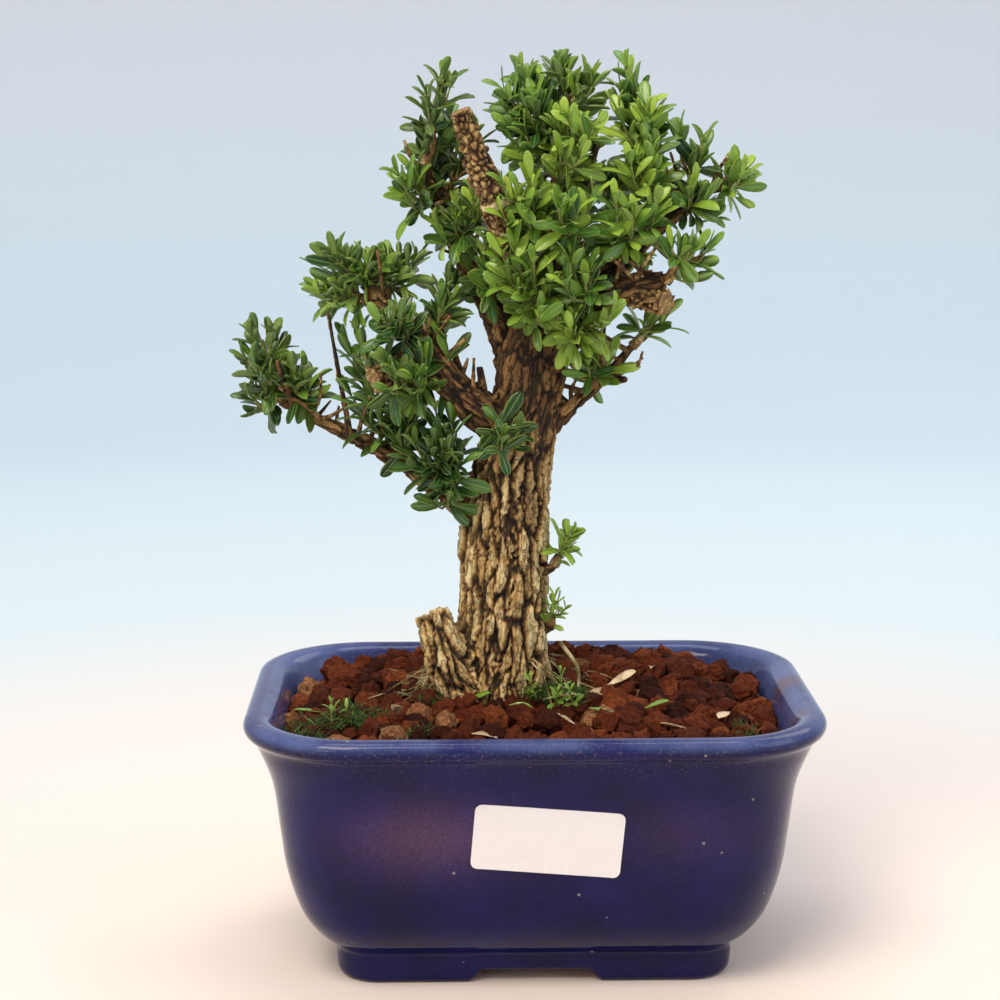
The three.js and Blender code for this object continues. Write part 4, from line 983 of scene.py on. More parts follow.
fissure = 1 - smooth_step(plate_edge, 0.08, 0.85)
chip = 1 - smooth_step(chip_edge, 0.0, 0.4)
furrow = 1 - smooth_step(ridge_edge, 0.0, 0.6)
dimple = 1 - smooth_step(lump_edge, 0.0, 0.7)
tilt = (plate_tone * 7.3 % 1 - 0.5) * plate_place[:, 2] * 0.45
rough = noise_at(branch_place, 1.4) * 0.14 + noise_at(branch_place * [1, 1, 0.3], 0.8) * 0.1
plates = (plate_tone - 0.45) * 1.3 + tilt + (chip_tone - 0.5) * 0.4
plates -= fissure * FISSURE_DEPTH + chip * CHIP_DEPTH
ridges = (ridge_tone - 0.4) * 0.9 - furrow * RIDGE_DEPTH - chip * 0.2
ridges += lumpy * ((lump_tone - 0.4) * 1.4 - dimple * LUMP_DEPTH - ridges)
young = 1 - old_trunk
rise = (old_trunk * (plates + 0.35) + young * ridges * thick + rough * (0.3 + 0.7 * thick)) * (1 - cut_face)
plate_light = 0.86 - 0.7 * fissure - 0.25 * chip + 0.35 * (plate_tone - 0.5)
ridge_light = 0.72 - 0.6 * furrow * (1 - lumpy) - 0.6 * dimple * lumpy + 0.4 * (ridge_tone - 0.5)
# Higher up, under the crown, the young bark is painted darker: painted shade.
crown_shade = smooth_step(surface[:, 2], CROWN_SHADE_FROM, CROWN_SHADE_FULL)
bright = old_trunk * plate_light + young * ridge_light - 0.17 * crown_shade * (1 - lumpy)
bright += 0.1 * (branch == len(wood) - 1)  # the root stub is bleached the most
bright = np.clip(np.maximum(bright, cut_face), 0, 1)
bleached = np.maximum(np.maximum(old_trunk, lumpy * 0.5), cut_face)
print("bark rises from", rise.min().round(2), "to", rise.max().round(2), "mm")

# %% [markdown]
# Bark is cork and dead wood, so it's dry and matt. Weather bleaches what stands out, so a plate's face
# is pale tan and its cracks are dark brown. Higher up, where the wood is young, the cork is darker and
# more golden, and under the crown it is painted darker still, as painted shade. Fibres along the grain,
# hair cracks and small pits are left to the shader.

# %% Patterns in the bark
FIBRE_ACROSS, FIBRE_SQUEEZE = 1.4, 0.16  # fibres per mm across the grain, and how long they are drawn

bark = new_material("box_wood_bark", Roughness=0.85, IOR=1.45)
branch = add_node(bark, "Attribute", out="Vector", attribute_name="branch_place")
bright_share, bleached_share = (
    add_node(bark, "Attribute", out="Fac", attribute_name=name) for name in ("bright", "bleached")
)
grain_place = add_node(bark, "Mapping", {"Vector": branch, "Scale": [1, 1, FIBRE_SQUEEZE]})
fibre = add_node(
    bark, "TexNoise",
    {"Vector": grain_place, "Scale": FIBRE_ACROSS, "Detail": 6.0, "Roughness": 0.68},
)
blotch = add_node(bark, "TexNoise", {"Vector": branch, "Scale": 0.14, "Detail": 5.0})
wavy = add_node(bark, "TexNoise", {"Vector": branch, "Scale": 0.9, "Detail": 3.0}, out="Color")
crack_place = add_node(
    bark, "VectorMath", {0: wavy, 1: [1.5, 1.5, 3.0], 2: branch}, operation="MULTIPLY_ADD",
)
crack_place = add_node(bark, "Mapping", {"Vector": crack_place, "Scale": [1, 1, 0.17]})
crack_edge = add_node(
    bark, "TexVoronoi", {"Vector": crack_place, "Scale": 0.62}, out="Distance",
    feature="DISTANCE_TO_EDGE",
)
hair_crack = add_node(bark, "MapRange", {0: crack_edge, 1: 0.01, 2: 0.06, 3: 0.7, 4: 0.0})
pits = add_node(bark, "TexVoronoi", {"Vector": branch, "Scale": 0.8}, out="Distance")
pit_share = add_node(bark, "MapRange", {0: pits, 1: 0.08, 2: 0.18, 3: 0.75, 4: 0.0})
print(len(bark.node_tree.nodes), "nodes of pattern")

# %% Bark material
worn = add_node(bark, "Math", {0: fibre, 1: -0.5}, operation="ADD")
worn = add_node(bark, "Math", {0: worn, 1: 0.7, 2: bright_share}, operation="MULTIPLY_ADD")
plate_colour = add_node(
    bark, "ValToRGB", {"Fac": worn},
    stops=[(0.08, "#1c1108"), (0.3, "#5d3f20"), (0.52, "#a17b49"), (0.76, "#c8a76d"), (0.98, "#e2cd99")],
)
cork_colour = add_node(
    bark, "ValToRGB", {"Fac": worn},
    stops=[(0.05, "#21140a"), (0.3, "#50341a"), (0.55, "#7f5a32"), (0.78, "#a67e4b"), (1.0, "#cdab7a")],
)
colour = add_node(
    bark, "Mix", {0: bleached_share, 6: cork_colour, 7: plate_colour}, out=2, data_type="RGBA",
)
blotch_share = add_node(bark, "MapRange", {0: blotch, 1: 0.5, 2: 0.72, 3: 0.0, 4: 0.45})
dark = add_node(bark, "Math", {0: hair_crack, 1: pit_share}, operation="MAXIMUM")
for share, hex_colour in ((blotch_share, "#5f5530"), (dark, "#2a1b10")):
    colour = add_node(bark, "Mix", {0: share, 6: colour, 7: linear(hex_colour)}, out=2, data_type="RGBA")
height = add_node(bark, "Math", {0: fibre, 1: dark}, operation="SUBTRACT")
bump = add_node(bark, "Bump", {"Height": height, "Strength": 0.85, "Distance": 0.4 * MM})
connect(bark, Base_Color=colour, Normal=bump)

# %% The skin of bark, in two pieces
SKIN_SPLIT = 172  # mm up, where the lower piece ends
barked = surface + normals * rise[:, None]
upper = surface[wood_faces][:, :, 2].mean(1) > SKIN_SPLIT
halves = [["bark_of_trunk", ~upper, ["trunk_and_branches"]], ["bark_of_limbs", upper, []]]
for name, chosen, replaced in halves:
    used, faces = np.unique(wood_faces[chosen], return_inverse=True)
    make_piece(
        name, barked[used], faces.reshape(-1, 4).tolist(), bark, slot="bark", replaces=replaced,
        attributes={
            "branch_place": branch_place[used], "bright": bright[used], "bleached": bleached[used],
        },
    )

# %% [markdown]
# ## Twigs
#
# A twig carries each spray from its limb to the fork of its shoots. Between them a boxwood
# crown is full of thinner bare wood: snags that lost their leaves in the shade. All of it is
# thin enough for plain tubes, with a knot at every node.

# %% Where the twigs lie
LEAFY_LENGTH, SHOOT_RADIUS, TWIG_RADIUS = 28.0, 0.62, 1.15
TWIG_BELOW, TWIG_SAG, FORK_CLEAR, FORK_SHARE, FIRST_PLACE, LIMB_PLACES = 20, 0.07, 2.5, 0.25, 4, 24


def plan_spray(limb, tips):
    """The path of a spray's twig, from its limb to its fork."""
    path = smooth_curve(limb["route"], 0.5)
    places = path[np.linspace(0, len(path) - 1, LIMB_PLACES + 1).round().astype(int)]
    middle = np.mean(tips, axis=0)
    apart = np.linalg.norm(places[FIRST_PLACE:] - (middle - [0, 0, TWIG_BELOW]), axis=1)
    place = FIRST_PLACE + int(np.argmin(apart))
    start, share = places[place], place / LIMB_PLACES
    limb_radius = limb["radius"][0] + (limb["radius"][1] - limb["radius"][0]) * share
    reach = np.linalg.norm(middle - start)
    fork_at = max(reach - LEAFY_LENGTH, limb_radius + FORK_CLEAR, reach * FORK_SHARE)
    fork = start + (middle - start) * fork_at / reach
    return smooth_curve([start, (start + fork) / 2 - [0, 0, TWIG_SAG * fork_at], fork], 1.5)


sprays = {}
for limb_name, limb in LIMBS.items():
    for number, tips in enumerate(limb["sprays"], 1):
        tips = np.array(tips, float)
        sprays[f"{limb_name}_spray_{number}"] = plan_spray(limb, tips), tips
print(len(sprays), "sprays")

# %% Twigs
TWIG_SEED, SNAGS_PER_LIMB = 21, 22
NODE_APART, KNOT = 3.2, 0.24  # mm between the knots of a twig, and how much they swell
SNAGGY_FROM = 21  # points on its path that a limb needs to have snags
SNAG_LENGTH, SNAG_FOOT, SNAG_TIP = (6, 20), (0.6, 1.1), (0.3, 0.5)  # mm
chance = np.random.default_rng(TWIG_SEED)
twigs = Bundle()


def add_wood(path, radii, sides=8):
    """One tube of thin wood, knotted where leaves once stood."""
    step = np.linalg.norm(path[1] - path[0])
    nodes = np.arange(len(path)) * step / NODE_APART % 1
    radii = radii * (1 + KNOT * np.exp(-((nodes - 0.5) / 0.14) ** 2))
    turn = np.arange(sides) * 2 * np.pi / sides
    around = np.stack([np.cos(turn), np.sin(turn), turn * 0], -1) * radii[:, None, None]
    down = (np.arange(len(path)) * step + chance.uniform(0, 500))[:, None, None] * [0, 0, 1]
    worn = np.repeat(np.clip(0.55 + chance.normal(0, 0.22, len(path)), 0.1, 1), sides)
    twigs.add(
        *tube(path, radii, sides), branch_place=(around + down).reshape(-1, 3), bright=worn,
        bleached=chance.uniform(0, 0.6),
    )


for path, _ in sprays.values():
    add_wood(path, np.linspace(TWIG_RADIUS * 1.5, TWIG_RADIUS, len(path)))
for name, (path, _) in limb_paths.items():
    for _ in range(SNAGS_PER_LIMB if len(path) > SNAGGY_FROM else 0):
        start = path[chance.integers(len(path) // 4, len(path))]
        direction = unit(chance.normal(size=3) * [1, 1, 0.5] + [0, -0.3, 1.1])
        length = chance.uniform(*SNAG_LENGTH)
        bend = chance.normal(size=3) * length * 0.07
        snag = smooth_curve([start, start + direction * length * 0.5 + bend, start + direction * length], 1.2)
        add_wood(snag, np.linspace(chance.uniform(*SNAG_FOOT), chance.uniform(*SNAG_TIP), len(snag)), 6)
twigs.make("twigs_and_snags", bark, slot="bark")

# %% [markdown]
# ## Leaves
#
# A box leaf is a leathery blade about ten millimetres long, widest past its middle and blunt at
# the tip, folded a little along its midrib and curved back. A waxy skin makes it glossy on top
# and its underside is paler and dull. The margin and the youngest leaves are yellower. Leaves in
# the shade are painted a darker, bluer green, as painted shade. The mesh carries where each point
# lies on its leaf, so that one material can draw the midrib, the margin and the underside of every leaf.

# %% Leaf material
VEINS = 75.0  # how many radians of side veins a leaf has from root to tip

leaf_skin = new_material("waxy_box_leaf", IOR=1.45)
place = add_node(leaf_skin, "Attribute", out="Vector", attribute_name="leaf_place")
kind = add_node(leaf_skin, "Attribute", out="Vector", attribute_name="leaf_kind")
across, along, under = (add_node(leaf_skin, "SeparateXYZ", {0: place}, out=k) for k in range(3))
tone, youth, stem = (add_node(leaf_skin, "SeparateXYZ", {0: kind}, out=k) for k in range(3))
from_rib = add_node(leaf_skin, "Math", {0: across}, operation="ABSOLUTE")
where = add_node(leaf_skin, "TexCoord", out="Object")
mottle = add_node(leaf_skin, "TexNoise", {"Vector": where, "Scale": 0.45 / MM, "Detail": 4.0})
tone_here = add_node(leaf_skin, "Math", {0: mottle, 1: 0.35, 2: tone}, operation="MULTIPLY_ADD")
green = add_node(
    leaf_skin, "ValToRGB", {"Fac": tone_here},
    stops=[(0.12, "#142f1b"), (0.42, "#315b25"), (0.72, "#5d862b"), (1.0, "#96b23e")],
)
layers = [  # how much of the next colour lies where, from first to last
    (add_node(leaf_skin, "Math", {0: youth, 1: 0.9}, operation="MULTIPLY"), "#9ab53f"),
    (add_node(leaf_skin, "MapRange", {0: from_rib, 1: 0.7, 2: 1.0, 4: 0.6}), "#a9bd52"),
    (add_node(leaf_skin, "MapRange", {0: from_rib, 1: 0.02, 2: 0.16, 3: 0.5, 4: 0.0}), "#86a858"),
    (add_node(leaf_skin, "Math", {0: under, 1: 0.8}, operation="MULTIPLY"), "#7f9a59"),
    (stem, "#83864a"),
]
for share, hex_colour in layers:
    green = add_node(
        leaf_skin, "Mix", {0: share, 6: green, 7: linear(hex_colour)}, out=2, data_type="RGBA",
    )
dull = add_node(leaf_skin, "Math", {0: under, 1: stem}, operation="MAXIMUM")
roughness = add_node(leaf_skin, "MapRange", {0: dull, 3: 0.24, 4: 0.6})
slant = add_node(leaf_skin, "Math", {0: from_rib, 1: -0.25, 2: along}, operation="MULTIPLY_ADD")
veins = add_node(leaf_skin, "Math", {0: slant, 1: VEINS}, operation="MULTIPLY")
ribs = add_node(leaf_skin, "Math", {0: veins}, operation="SINE")
bump = add_node(leaf_skin, "Bump", {"Height": ribs, "Strength": 0.12, "Distance": 0.1 * MM})
connect(leaf_skin, Base_Color=green, Roughness=roughness, Normal=bump)

# %% The shape of one leaf
LEAF_ROWS = np.array([0.0, 0.13, 0.34, 0.58, 0.8, 0.94, 1.0])
LEAF_HALF_WIDTHS = np.array([0.15, 0.3, 0.74, 1.0, 0.96, 0.6, 0.22])
LEAF_COLUMNS = np.array([-1.0, -0.5, 0.0, 0.5, 1.0])
LEAF_THICKNESS = 0.26


def leaf_template():
    """Where the points of a leaf lie: across it, along it, and on its underside or not; its faces."""
    rows, wide = len(LEAF_ROWS), len(LEAF_COLUMNS)
    across = np.concatenate([np.tile(LEAF_COLUMNS, rows), np.zeros(rows)])
    along = np.concatenate([np.repeat(LEAF_ROWS, wide), LEAF_ROWS])
    under = np.repeat([0.0, 1.0], [rows * wide, rows])
    faces = []
    for i in range(rows - 1):
        for a in range(i * wide, (i + 1) * wide - 1):
            faces.append([a, a + 1, a + wide + 1, a + wide])
        low, high = rows * wide + i, rows * wide + i + 1
        faces.append([i * wide, (i + 1) * wide, high, low])
        faces.append([low, high, (i + 2) * wide - 1, (i + 1) * wide - 1])
    faces.append([0, rows * wide] + list(range(wide - 1, 0, -1)))
    faces.append(list(range((rows - 1) * wide, rows * wide)) + [rows * (wide + 1) - 1])
    return across, along, under, faces


ACROSS, ALONG, UNDER, LEAF_FACES = leaf_template()
LEAF_PLACE = np.stack([ACROSS, ALONG, UNDER], -1)
WIDTH_SHARE = np.interp(ALONG, LEAF_ROWS, LEAF_HALF_WIDTHS)


def leaf(root, along, up, length, width, curl, fold):
    """The points of one leaf from its root, the way it points and the way its upper side looks."""
    side = np.cross(along, up)
    half = WIDTH_SHARE * width / 2
    rise = fold * np.abs(ACROSS) * half - curl * length * ALONG ** 2 - UNDER * LEAF_THICKNESS
    reach = ALONG * length * (1 - curl * 0.5 * ALONG)
    return root + along * reach[:, None] + side * (ACROSS * half)[:, None] + up * rise[:, None]


print("a leaf has", len(LEAF_PLACE), "points and", len(LEAF_FACES), "faces")

# %% [markdown]
# ## Sprays
#
# Box leaves stand in opposite pairs, each pair at right angles to the last. The lowest leaves of a
# shoot open widest and the youngest, at its tip, still stand nearly upright. Each spray has its
# main shoot and side shoots to the tips that the tree's layout gives, and shorter ones that leave
# the twig and the main shoot on all sides and turn up to the light.

# %% A shoot's path, and one leaf on it
SPRAY_SEED = 40
LEAF_LENGTH, PAIR_APART = 11.6, 3.4  # mm
OPEN_LOW, OPEN_TIP = 57.0, 17.0  # degrees that the lowest and the last leaves stand off the stem
BLADE_WIDTH, BLADE_CURL, BLADE_FOLD = (0.28, 0.36), (-0.02, 0.32), (0.1, 0.5)
ELBOW_AT, ELBOW_SAG = 0.62, 0.26  # where a shoot turns up, and how low it hangs there
TOP_ROOM, TOP_REACH = 3, 2.9  # mm under the top where leaves begin to bend, and how far they reach
chance = np.random.default_rng(SPRAY_SEED)


def shoot_path(base, start, tip, size):
    """A stem from base to near its tip. It sets off along start and turns up at an elbow."""
    reach = np.linalg.norm(tip - base)
    end = base + (tip - base) * max(0.35, 1 - LEAF_LENGTH * size * 0.75 / reach)
    elbow = base + (end - base) * ELBOW_AT - [0, 0, ELBOW_SAG * np.hypot(*(end - base)[:2])]
    return smooth_curve([base, base + start * reach * 0.12, elbow, end], 1.4)


def leaf_on_stem(root, along, out, age, size):
    """The points of one leaf, which stands off its stem the more the older it is."""
    tilt = math.radians(OPEN_TIP + (OPEN_LOW - OPEN_TIP) * age ** 0.8 + chance.normal(0, 9))
    direction = along * math.cos(tilt) + out * math.sin(tilt)
    up = along * math.sin(tilt) - out * math.cos(tilt)
    roll = chance.normal(0, 0.25)
    up = unit(up * math.cos(roll) + np.cross(direction, up) * math.sin(roll))
    length = LEAF_LENGTH * size * chance.uniform(0.84, 1.14) * (0.7 + 0.3 * min(1, age * 3 + 0.12))
    width, curl, fold = (chance.uniform(*span) for span in (BLADE_WIDTH, BLADE_CURL, BLADE_FOLD))
    blade = leaf(root, direction, up, length, length * width, curl, fold)
    over = np.maximum(0, blade[:, 2] - HIGH_Z + TOP_ROOM)
    blade[:, 2] += TOP_REACH * (1 - np.exp(-over / TOP_REACH)) - over
    return blade


short_shoot = shoot_path(np.zeros(3), np.array([0, 0, 1.0]), np.array([5.0, 0, 25]), 1.0)
print("a shoot 25 mm high has", len(short_shoot), "rings")

# %% How a shoot grows
STEM_SIDES = 5
FALLEN = 0.04  # the share of the leaves that have dropped


def grow_shoot(spray, base, start, tip, size, bare_share, tone, youth):
    """A stem that is bare at first, and then has pairs of leaves along it."""
    path = shoot_path(base, start, tip, size)
    radii = np.linspace(1, 0.55, len(path)) * SHOOT_RADIUS * size
    share = np.repeat(np.linspace(0, 1, len(path)), STEM_SIDES)
    spray.add(
        *tube(path, radii, STEM_SIDES), leaf_place=np.stack([share * 0, share, share * 0], -1),
        leaf_kind=[tone, 0, 1],
    )
    along, first, second = frames_along(path)
    stem_length = np.linalg.norm(np.diff(path, axis=0), axis=1).sum()
    count = max(2, round((1 - bare_share) * stem_length / (PAIR_APART * size)))
    spin = chance.uniform(0, np.pi)
    for pair in range(count):
        age = 1 - pair / (count - 1)  # 1 for the lowest pair and 0 for the last
        at = round((bare_share + (1 - bare_share) * (1 - age)) * (len(path) - 1))
        for side in (0, np.pi):
            angle = spin + pair * np.pi / 2 + side + chance.normal(0, 0.2)
            out = np.cos(angle) * first[at] + np.sin(angle) * second[at]
            blade = leaf_on_stem(path[at] + out * radii[at] * 0.5, along[at], out, age, size)
            inside = blade.min(0)[0] > LOW_X and blade.max(0)[0] < HIGH_X and blade.max(0)[2] < HIGH_Z
            if not inside or chance.uniform() < FALLEN:
                continue
            fresh = np.clip(youth + chance.normal(0, 0.1) + 0.35 * max(0, 0.35 - age), 0, 1)
            # older leaves low on a shoot are a darker green, partly their own colour and partly painted shade
            # inside the spray
            leaf_tone = np.clip(tone + 0.06 - 0.3 * age + chance.normal(0, 0.14), 0, 1)
            spray.add(blade, LEAF_FACES, leaf_place=LEAF_PLACE, leaf_kind=[leaf_tone, fresh, 0])
    return path


print("leaves stand", PAIR_APART, "mm apart and are", LEAF_LENGTH, "mm long")

# %% Sprays that differ from the rest
EXTRA_SHOOTS, SPROUT_SIZE = 8, {"trunk_sprout": 0.75, "low_sprout": 0.5}
FEWER_SHOOTS = {  # sprays that are more open than the others
    "left_low_spray_7": 0, "left_main_spray_8": 0, "left_main_spray_9": 2, "crown_right_spray_1": 3,
    "crown_right_spray_4": 4, "crown_right_spray_5": 4, "crown_left_spray_3": 4, "trunk_sprout_spray_1": 5,
    "low_sprout_spray_1": 4, "right_thin_spray_1": 5, "right_thin_spray_2": 5, "left_low_spray_2": 5,
    "left_low_spray_3": 5, "crown_left_spray_6": 4,
}
IN_SHADE = {"left_main_spray_9", "left_low_spray_6", "left_low_spray_7", "left_main_spray_8"}
YELLOWER = {"corky_right_spray_2": 0.7}
MORE_TIPS = {  # short shoots that close the front of the crown, where the limbs would show
    "leader_spray_9": [[-9, -34, 236], [-2, -37, 230], [-14, -33, 232], [6, -34, 224]],
    "leader_spray_8": [[-15, -34, 240], [-5, -38, 243]],
    "crown_left_spray_6": [[-13, -24, 224]],
    "crown_left_spray_5": [[-36, -8, 238], [-33, -8, 228], [-25, -6, 222]],
    "leader_spray_4": [[-11, -8, 266], [-12, -12, 258], [-8, -16, 252]],
    "leader_spray_1": [[-15, -6, 268], [-13, -12, 262]],
    "left_main_spray_5": [[-61, -8, 206], [-56, -4, 201]],
    "left_main_spray_3": [[-37, -8, 213], [-40, -4, 218]],
    "left_low_spray_4": [[-68, -8, 186], [-66, -6, 180]],
    "crown_right_spray_1": [[21, -4, 276], [24, -8, 266], [22, -2, 284]],
    "crown_right_spray_5": [[68, -4, 238], [60, -8, 243], [69, -8, 256], [70, -2, 245]],
    "left_low_spray_5": [[-56, -6, 190], [-62, 0, 205], [-51, -6, 202], [-57, -8, 208], [-63, -4, 188]],
    "left_low_spray_6": [[-42, -14, 172], [-50, -8, 176], [-25, -12, 182], [-32, -14, 186]],
    "corky_right_spray_2": [[28, -34, 213]],
    "left_main_spray_7": [[-52, -26, 196], [-36, -28, 200]],
}
print(len(MORE_TIPS), "sprays have more tips and", len(FEWER_SHOOTS), "have fewer shoots")

# %% Sprays
YOUTHS, YOUTH_SHARES = [0.05, 0.15, 0.3, 0.6], [0.4, 0.3, 0.2, 0.1]
SHOOT_REACH = (13, 25)  # mm that an extra shoot reaches

for name, (twig, tips) in sprays.items():
    limb_name = name.split("_spray_")[0]
    size = SPROUT_SIZE.get(limb_name, 1.0)
    core = np.mean(LIMBS[limb_name]["route"], axis=0)
    spray = Bundle()
    tone, youth = chance.uniform(0.2, 0.8), chance.choice(YOUTHS, p=YOUTH_SHARES)
    youth = max(youth, 0.85 * (size < 1))
    tone += 0.16 * np.clip(tips[0][0] / 50, -1, 1)  # the right side stands more in the light
    if name in IN_SHADE:
        tone, youth = 0.18, 0.05
    youth = YELLOWER.get(name, youth)
    # the main shoot and the shoots to the tips, on the outside of the spray, get a lighter tone: painted
    # light
    main = grow_shoot(spray, twig[-1], unit(twig[-1] - twig[-3]), tips[0], size, 0.08, tone + 0.1, youth)
    for tip in [*tips[1:], *np.array(MORE_TIPS.get(name, []), float).reshape(-1, 3)]:
        base = main[len(main) // 8]
        grow_shoot(spray, base, unit(tip - base), tip, size, 0.15, tone + 0.1, youth)
    for number in range(FEWER_SHOOTS.get(name, EXTRA_SHOOTS)):
        stems = (main, main[:len(main) * 2 // 3], twig[len(twig) * 2 // 5:])[number % 3]
        base = stems[chance.integers(len(stems))]
        outward = unit(base - core) * 0.4 + unit(tips[0] - twig[0]) * 0.6 + [0, -0.1, 0.7]
        direction = unit(outward + chance.normal(size=3) * 0.55)
        tip = base + direction * chance.uniform(*SHOOT_REACH) * size
        tip = np.clip(tip, tips.min(0) - [3, 14, 20], tips.max(0) + [3, 14, -3])
        start = unit(direction + chance.normal(size=3) * 0.5)
        # the short shoots inside the spray get a darker tone: painted shade
        grow_shoot(spray, base, start, tip, size * chance.uniform(0.8, 1), 0.1, tone - 0.12, youth)
    spray.make(name + "_leaves", leaf_skin, slot="leaves", replaces=[name])

# %% [markdown]
# ## What lies on the soil
#
# An old pot gathers things: moss where the soil stays damp, pale rootlets that left the trunk's
# base and dried, a bent stick, a few seedlings no higher than a granule, and fallen leaves, some
# still green and some bleached tan. All of them are small, and they're what tells the eye how big
# the granules are.

# %% Moss
MOSS_SEED = 8
MOSS_PATCHES = [  # x, y, half length, half depth, and how many blades
    [-62, -22, 13, 12, 560], [-40, -38, 9, 5, 90], [3, -12, 6, 4, 420], [-30, -12, 6, 4, 160],
    [10, -13, 7, 5, 380], [66, -30, 6, 6, 50],
]
MOSS_HEIGHT, BLADES_PER_CLUMP = (1.2, 4.2), 14
moss_green = new_material("soil_moss", Roughness=0.75, IOR=1.4)
tone = add_node(moss_green, "Attribute", out="Fac", attribute_name="tone")
colour = add_node(
    moss_green, "ValToRGB", {"Fac": tone},
    stops=[(0.0, "#182410"), (0.5, "#35501c"), (0.9, "#5f7d2c"), (1.0, "#8f9a4e")],
)
connect(moss_green, Base_Color=colour)

chance = np.random.default_rng(MOSS_SEED)
moss = Bundle()
for x, y, half_length, half_depth, count in MOSS_PATCHES:
    clumps = chance.normal(0, 0.5, (max(4, count // BLADES_PER_CLUMP), 2))
    clumps = clumps * [half_length, half_depth] + [x, y]
    for _ in range(count):
        root = clumps[chance.integers(len(clumps))] + chance.normal(0, 1.1, 2)
        height = chance.uniform(*MOSS_HEIGHT)
        base = np.array([*root, loose_height(*root) - 0.5])
        lean = np.array([*chance.normal(0, 0.45, 2), 1.0])
        path = np.array([base, base + lean * height * 0.6, base + lean * [1.7, 1.7, 1] * height])
        moss.add(*tube(path, [0.2, 0.15, 0.04], 4), tone=np.clip(chance.normal(0.45, 0.25), 0, 1))
moss.make("moss_tufts", moss_green)

# %% Rootlets and a stick
ROOTLET_SEED, ROOTLETS = 14, 44
ROOTLET_SIDES = [(-75, 35), (150, 230)]  # degrees round the trunk, from the right and from the left
STICK = [[9, -3, 102], [14.5, -6, 94], [13.5, -14, 86], [10, -19, 85.5]]

dry_root = new_material("dry_rootlets", Roughness=0.8, IOR=1.45)
place = add_node(dry_root, "TexCoord", out="Object")
patchy = add_node(dry_root, "TexNoise", {"Vector": place, "Scale": 0.15 / MM, "Detail": 3.0})
colour = add_node(
    dry_root, "ValToRGB", {"Fac": patchy},
    stops=[(0.35, "#4d4023"), (0.5, "#84774a"), (0.68, "#c7b78a")],
)
connect(dry_root, Base_Color=colour)

chance = np.random.default_rng(ROOTLET_SEED)
rootlets = Bundle()
for number in range(ROOTLETS):
    turn = math.radians(chance.uniform(*ROOTLET_SIDES[number % 2]))
    out = np.array([math.cos(turn), math.sin(turn)])
    trunk_foot = np.array([TRUNK_X, 0]) + out * ([17.5, 15.5] if number % 2 == 0 else [22, 15])
    start = np.array([*trunk_foot, chance.uniform(86, 101 if number % 2 == 0 else 95)])
    ground = trunk_foot + out * chance.uniform(3, 11) + chance.normal(0, 3, 2)
    onward = ground + out * chance.uniform(1, 8) + chance.normal(0, 4, 2)
    bend = [*(out * chance.uniform(2, 5)), -chance.uniform(0, 4)]
    path = smooth_curve([
        start, start + bend, [*ground, loose_height(*ground) + 0.7], [*onward, loose_height(*onward)],
    ], 1.3)
    rootlets.add(*tube(path, np.linspace(chance.uniform(0.14, 0.34), 0.1, len(path)), 6))
stick = smooth_curve(STICK, 1.2)
rootlets.add(*tube(stick, np.linspace(0.75, 0.4, len(stick)), 8))
rootlets.make("rootlets_and_stick", dry_root)

# %% Fallen leaves and seedlings
LITTER_SEED = 30
DRY_LEAVES = [
    [-28, -15], [3, -18], [24, -6], [27, -12], [63, -14], [-18, -19], [40, 12], [-55, -5], [-20, -40],
    [48, -36], [-44, -24], [12, -34],
]
GREEN_LEAVES = [[-21, -19], [17, -24], [29, -27], [35, -22], [-66, -10], [-8, -22]]
SEEDLINGS = [[1, -16], [7, -18], [13, -22], [-64, -24], [-58, -16], [10, -13]]
FALLEN_LENGTH, FALLEN_CURL, FALLEN_WIDTH, FALLEN_FOLD = (8, 11), (-0.2, 0.3), 3.6, 0.4
SEEDLING_SIZE = 0.36

dry_leaf = new_material("dry_box_leaf", Roughness=0.6, IOR=1.45)
place = add_node(dry_leaf, "TexCoord", out="Object")
patchy = add_node(dry_leaf, "TexNoise", {"Vector": place, "Scale": 0.25 / MM, "Detail": 4.0})
colour = add_node(
    dry_leaf, "ValToRGB", {"Fac": patchy}, stops=[(0.35, "#8d6d47"), (0.65, "#d9c3a0")],
)
connect(dry_leaf, Base_Color=colour)

chance = np.random.default_rng(LITTER_SEED)
dry, green = Bundle(), Bundle()
for places, heap in ((DRY_LEAVES, dry), (GREEN_LEAVES, green)):
    for x, y in places:
        along = unit(np.array([*chance.normal(size=2), chance.uniform(-0.1, 0.35)]))
        up = unit(np.cross(along, np.cross([*chance.normal(0, 0.3, 2), 1.0], along)))
        root = np.array([x, y, loose_height(x, y) + 1.2])
        length, curl = chance.uniform(*FALLEN_LENGTH), chance.uniform(*FALLEN_CURL)
        blade = leaf(root, along, up, length, FALLEN_WIDTH, curl, FALLEN_FOLD)
        values = {} if heap is dry else {"leaf_place": LEAF_PLACE, "leaf_kind": [0.5, 0.3, 0]}
        heap.add(blade, LEAF_FACES, **values)
for x, y in SEEDLINGS:
    base = np.array([x, y, loose_height(x, y) - 0.5])
    tip = base + [*chance.normal(0, 3, 2), chance.uniform(7, 11)]
    grow_shoot(green, base, np.array([0, 0, 1.0]), tip, SEEDLING_SIZE, 0.35, 0.4, 0.4)
dry.make("dry_leaves", dry_leaf)
green.make("seedlings_and_green_leaves", leaf_skin, slot="leaves")

# %% [markdown]
# ## Floor and light
#
# The tree stands in a photographer's sweep: a pale sheet that curves up behind it with no edge,
# warm white near the pot, pale blue further out and lavender at the back. One large soft light
# hangs above and in front, a weaker one fills the other side, and the sweep itself gives the rest.

# %% Floor
SWEEP = [[20, 0], [900, 0], [1500, 0], [2000, 180], [2200, 700], [2200, 2600]]  # radius and height
SWEEP_SIDES = 96

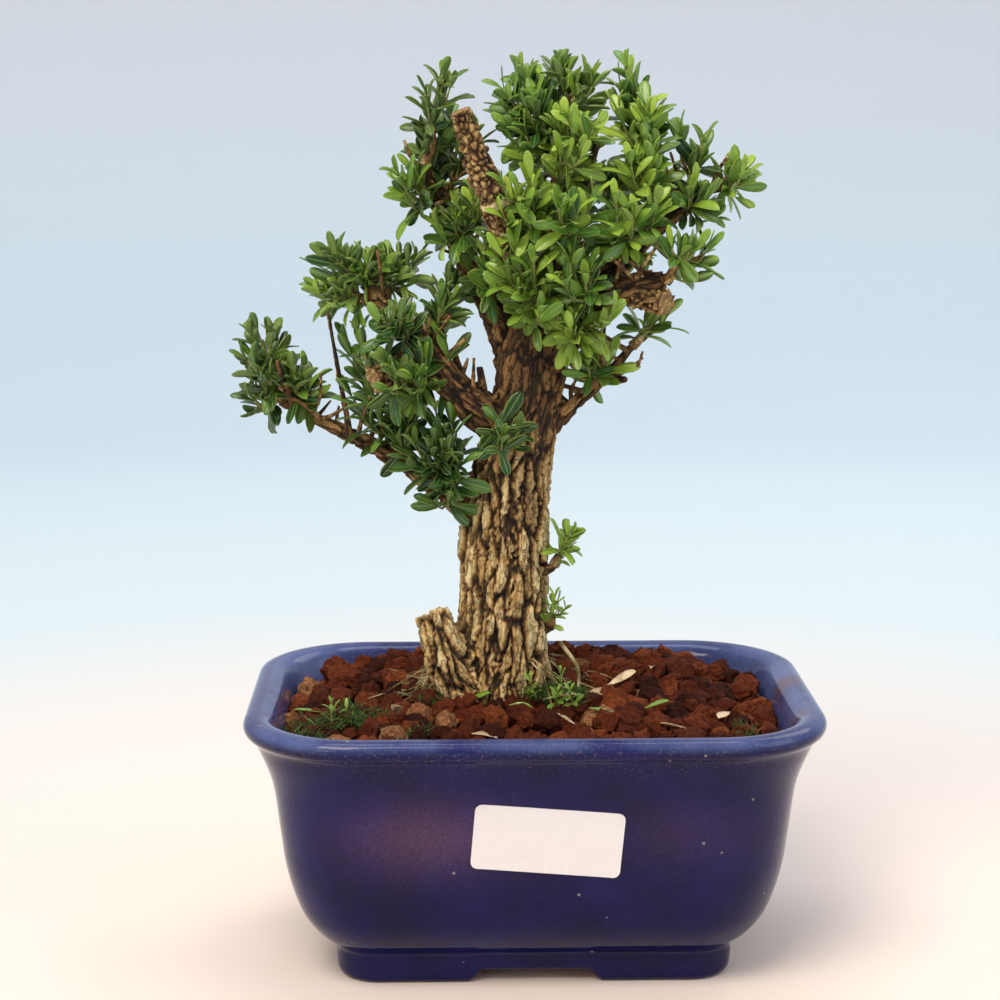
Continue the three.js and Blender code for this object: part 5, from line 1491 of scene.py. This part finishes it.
sweep_sheet = new_material("painted_sweep", Roughness=0.85, IOR=1.45)
place = add_node(sweep_sheet, "TexCoord", out="Object")
far = add_node(sweep_sheet, "VectorMath", {0: place}, out="Value", operation="LENGTH")
far = add_node(sweep_sheet, "MapRange", {0: far, 1: 0.0, 2: 3.0})
tint = add_node(
    sweep_sheet, "ValToRGB", {"Fac": far},
    stops=[(0.04, "#eedfd5"), (0.1, "#e2dbd6"), (0.17, "#d0dce0"), (0.36, "#d0e0e8"), (0.62, "#d1e0e8"),
           (0.68, "#d1dae0"), (0.73, "#d3d4d9")],
)
connect(sweep_sheet, Base_Color=tint)

profile = smooth_curve([[radius, 0, height] for radius, height in SWEEP], 60)
turn = np.arange(SWEEP_SIDES) * 2 * np.pi / SWEEP_SIDES
around = np.stack([np.cos(turn), np.sin(turn), turn * 0], -1)
points = around * profile[:, :1, None] + profile[:, None, 2:] * [0, 0, 1]
faces = ring_faces(len(profile), SWEEP_SIDES)[:-1]
floor_mesh = bpy.data.meshes.new("sweep")
floor_mesh.from_pydata((points.reshape(-1, 3) * MM).tolist(), [], [face[::-1] for face in faces])
floor_mesh.materials.append(sweep_sheet)
floor_mesh.shade_smooth()
floor = bpy.data.objects.new("sweep", floor_mesh)
bpy.context.scene.collection.objects.link(floor)

# %% Lights
LIGHTS = [  # name, place and aim in metres, watts, size in metres, colour
    ["key", (-0.5, -0.85, 1.4), (0, 0, 0.14), 24, 0.8, "#fff4e4"],
    ["fill", (1.2, -0.5, 0.7), (0, 0, 0.14), 5, 0.9, "#eef4ff"],
    ["rim", (0.9, 0.9, 1.3), (0, 0, 0.2), 5, 0.8, "#fff6e6"],
    ["front", (-0.7, -1.1, 0.5), (0, 0, 0.2), 1.5, 0.4, "#ffe6d8"],
    ["sweep", (0, 0.5, 2.2), (0, 2.0, 0.4), 20, 1.2, "#f2f6ff"],
]
world = bpy.data.worlds.new("studio")
world.use_nodes = True
world.node_tree.nodes["Background"].inputs["Color"].default_value = linear("#eef2f8")
world.node_tree.nodes["Background"].inputs["Strength"].default_value = 0.4
bpy.context.scene.world = world
bpy.context.scene.view_settings.view_transform = "Standard"
for name, place, aim, watts, size, hex_colour in LIGHTS:
    data = bpy.data.lights.new(name, "AREA")
    data.energy, data.size, data.color = watts, size, linear(hex_colour)[:3]
    lamp = bpy.data.objects.new(name, data)
    lamp.location = place
    lamp.rotation_euler = (Vector(place) - Vector(aim)).to_track_quat("Z", "Y").to_euler()
    bpy.context.scene.collection.objects.link(lamp)
print(len(LIGHTS), "lights")
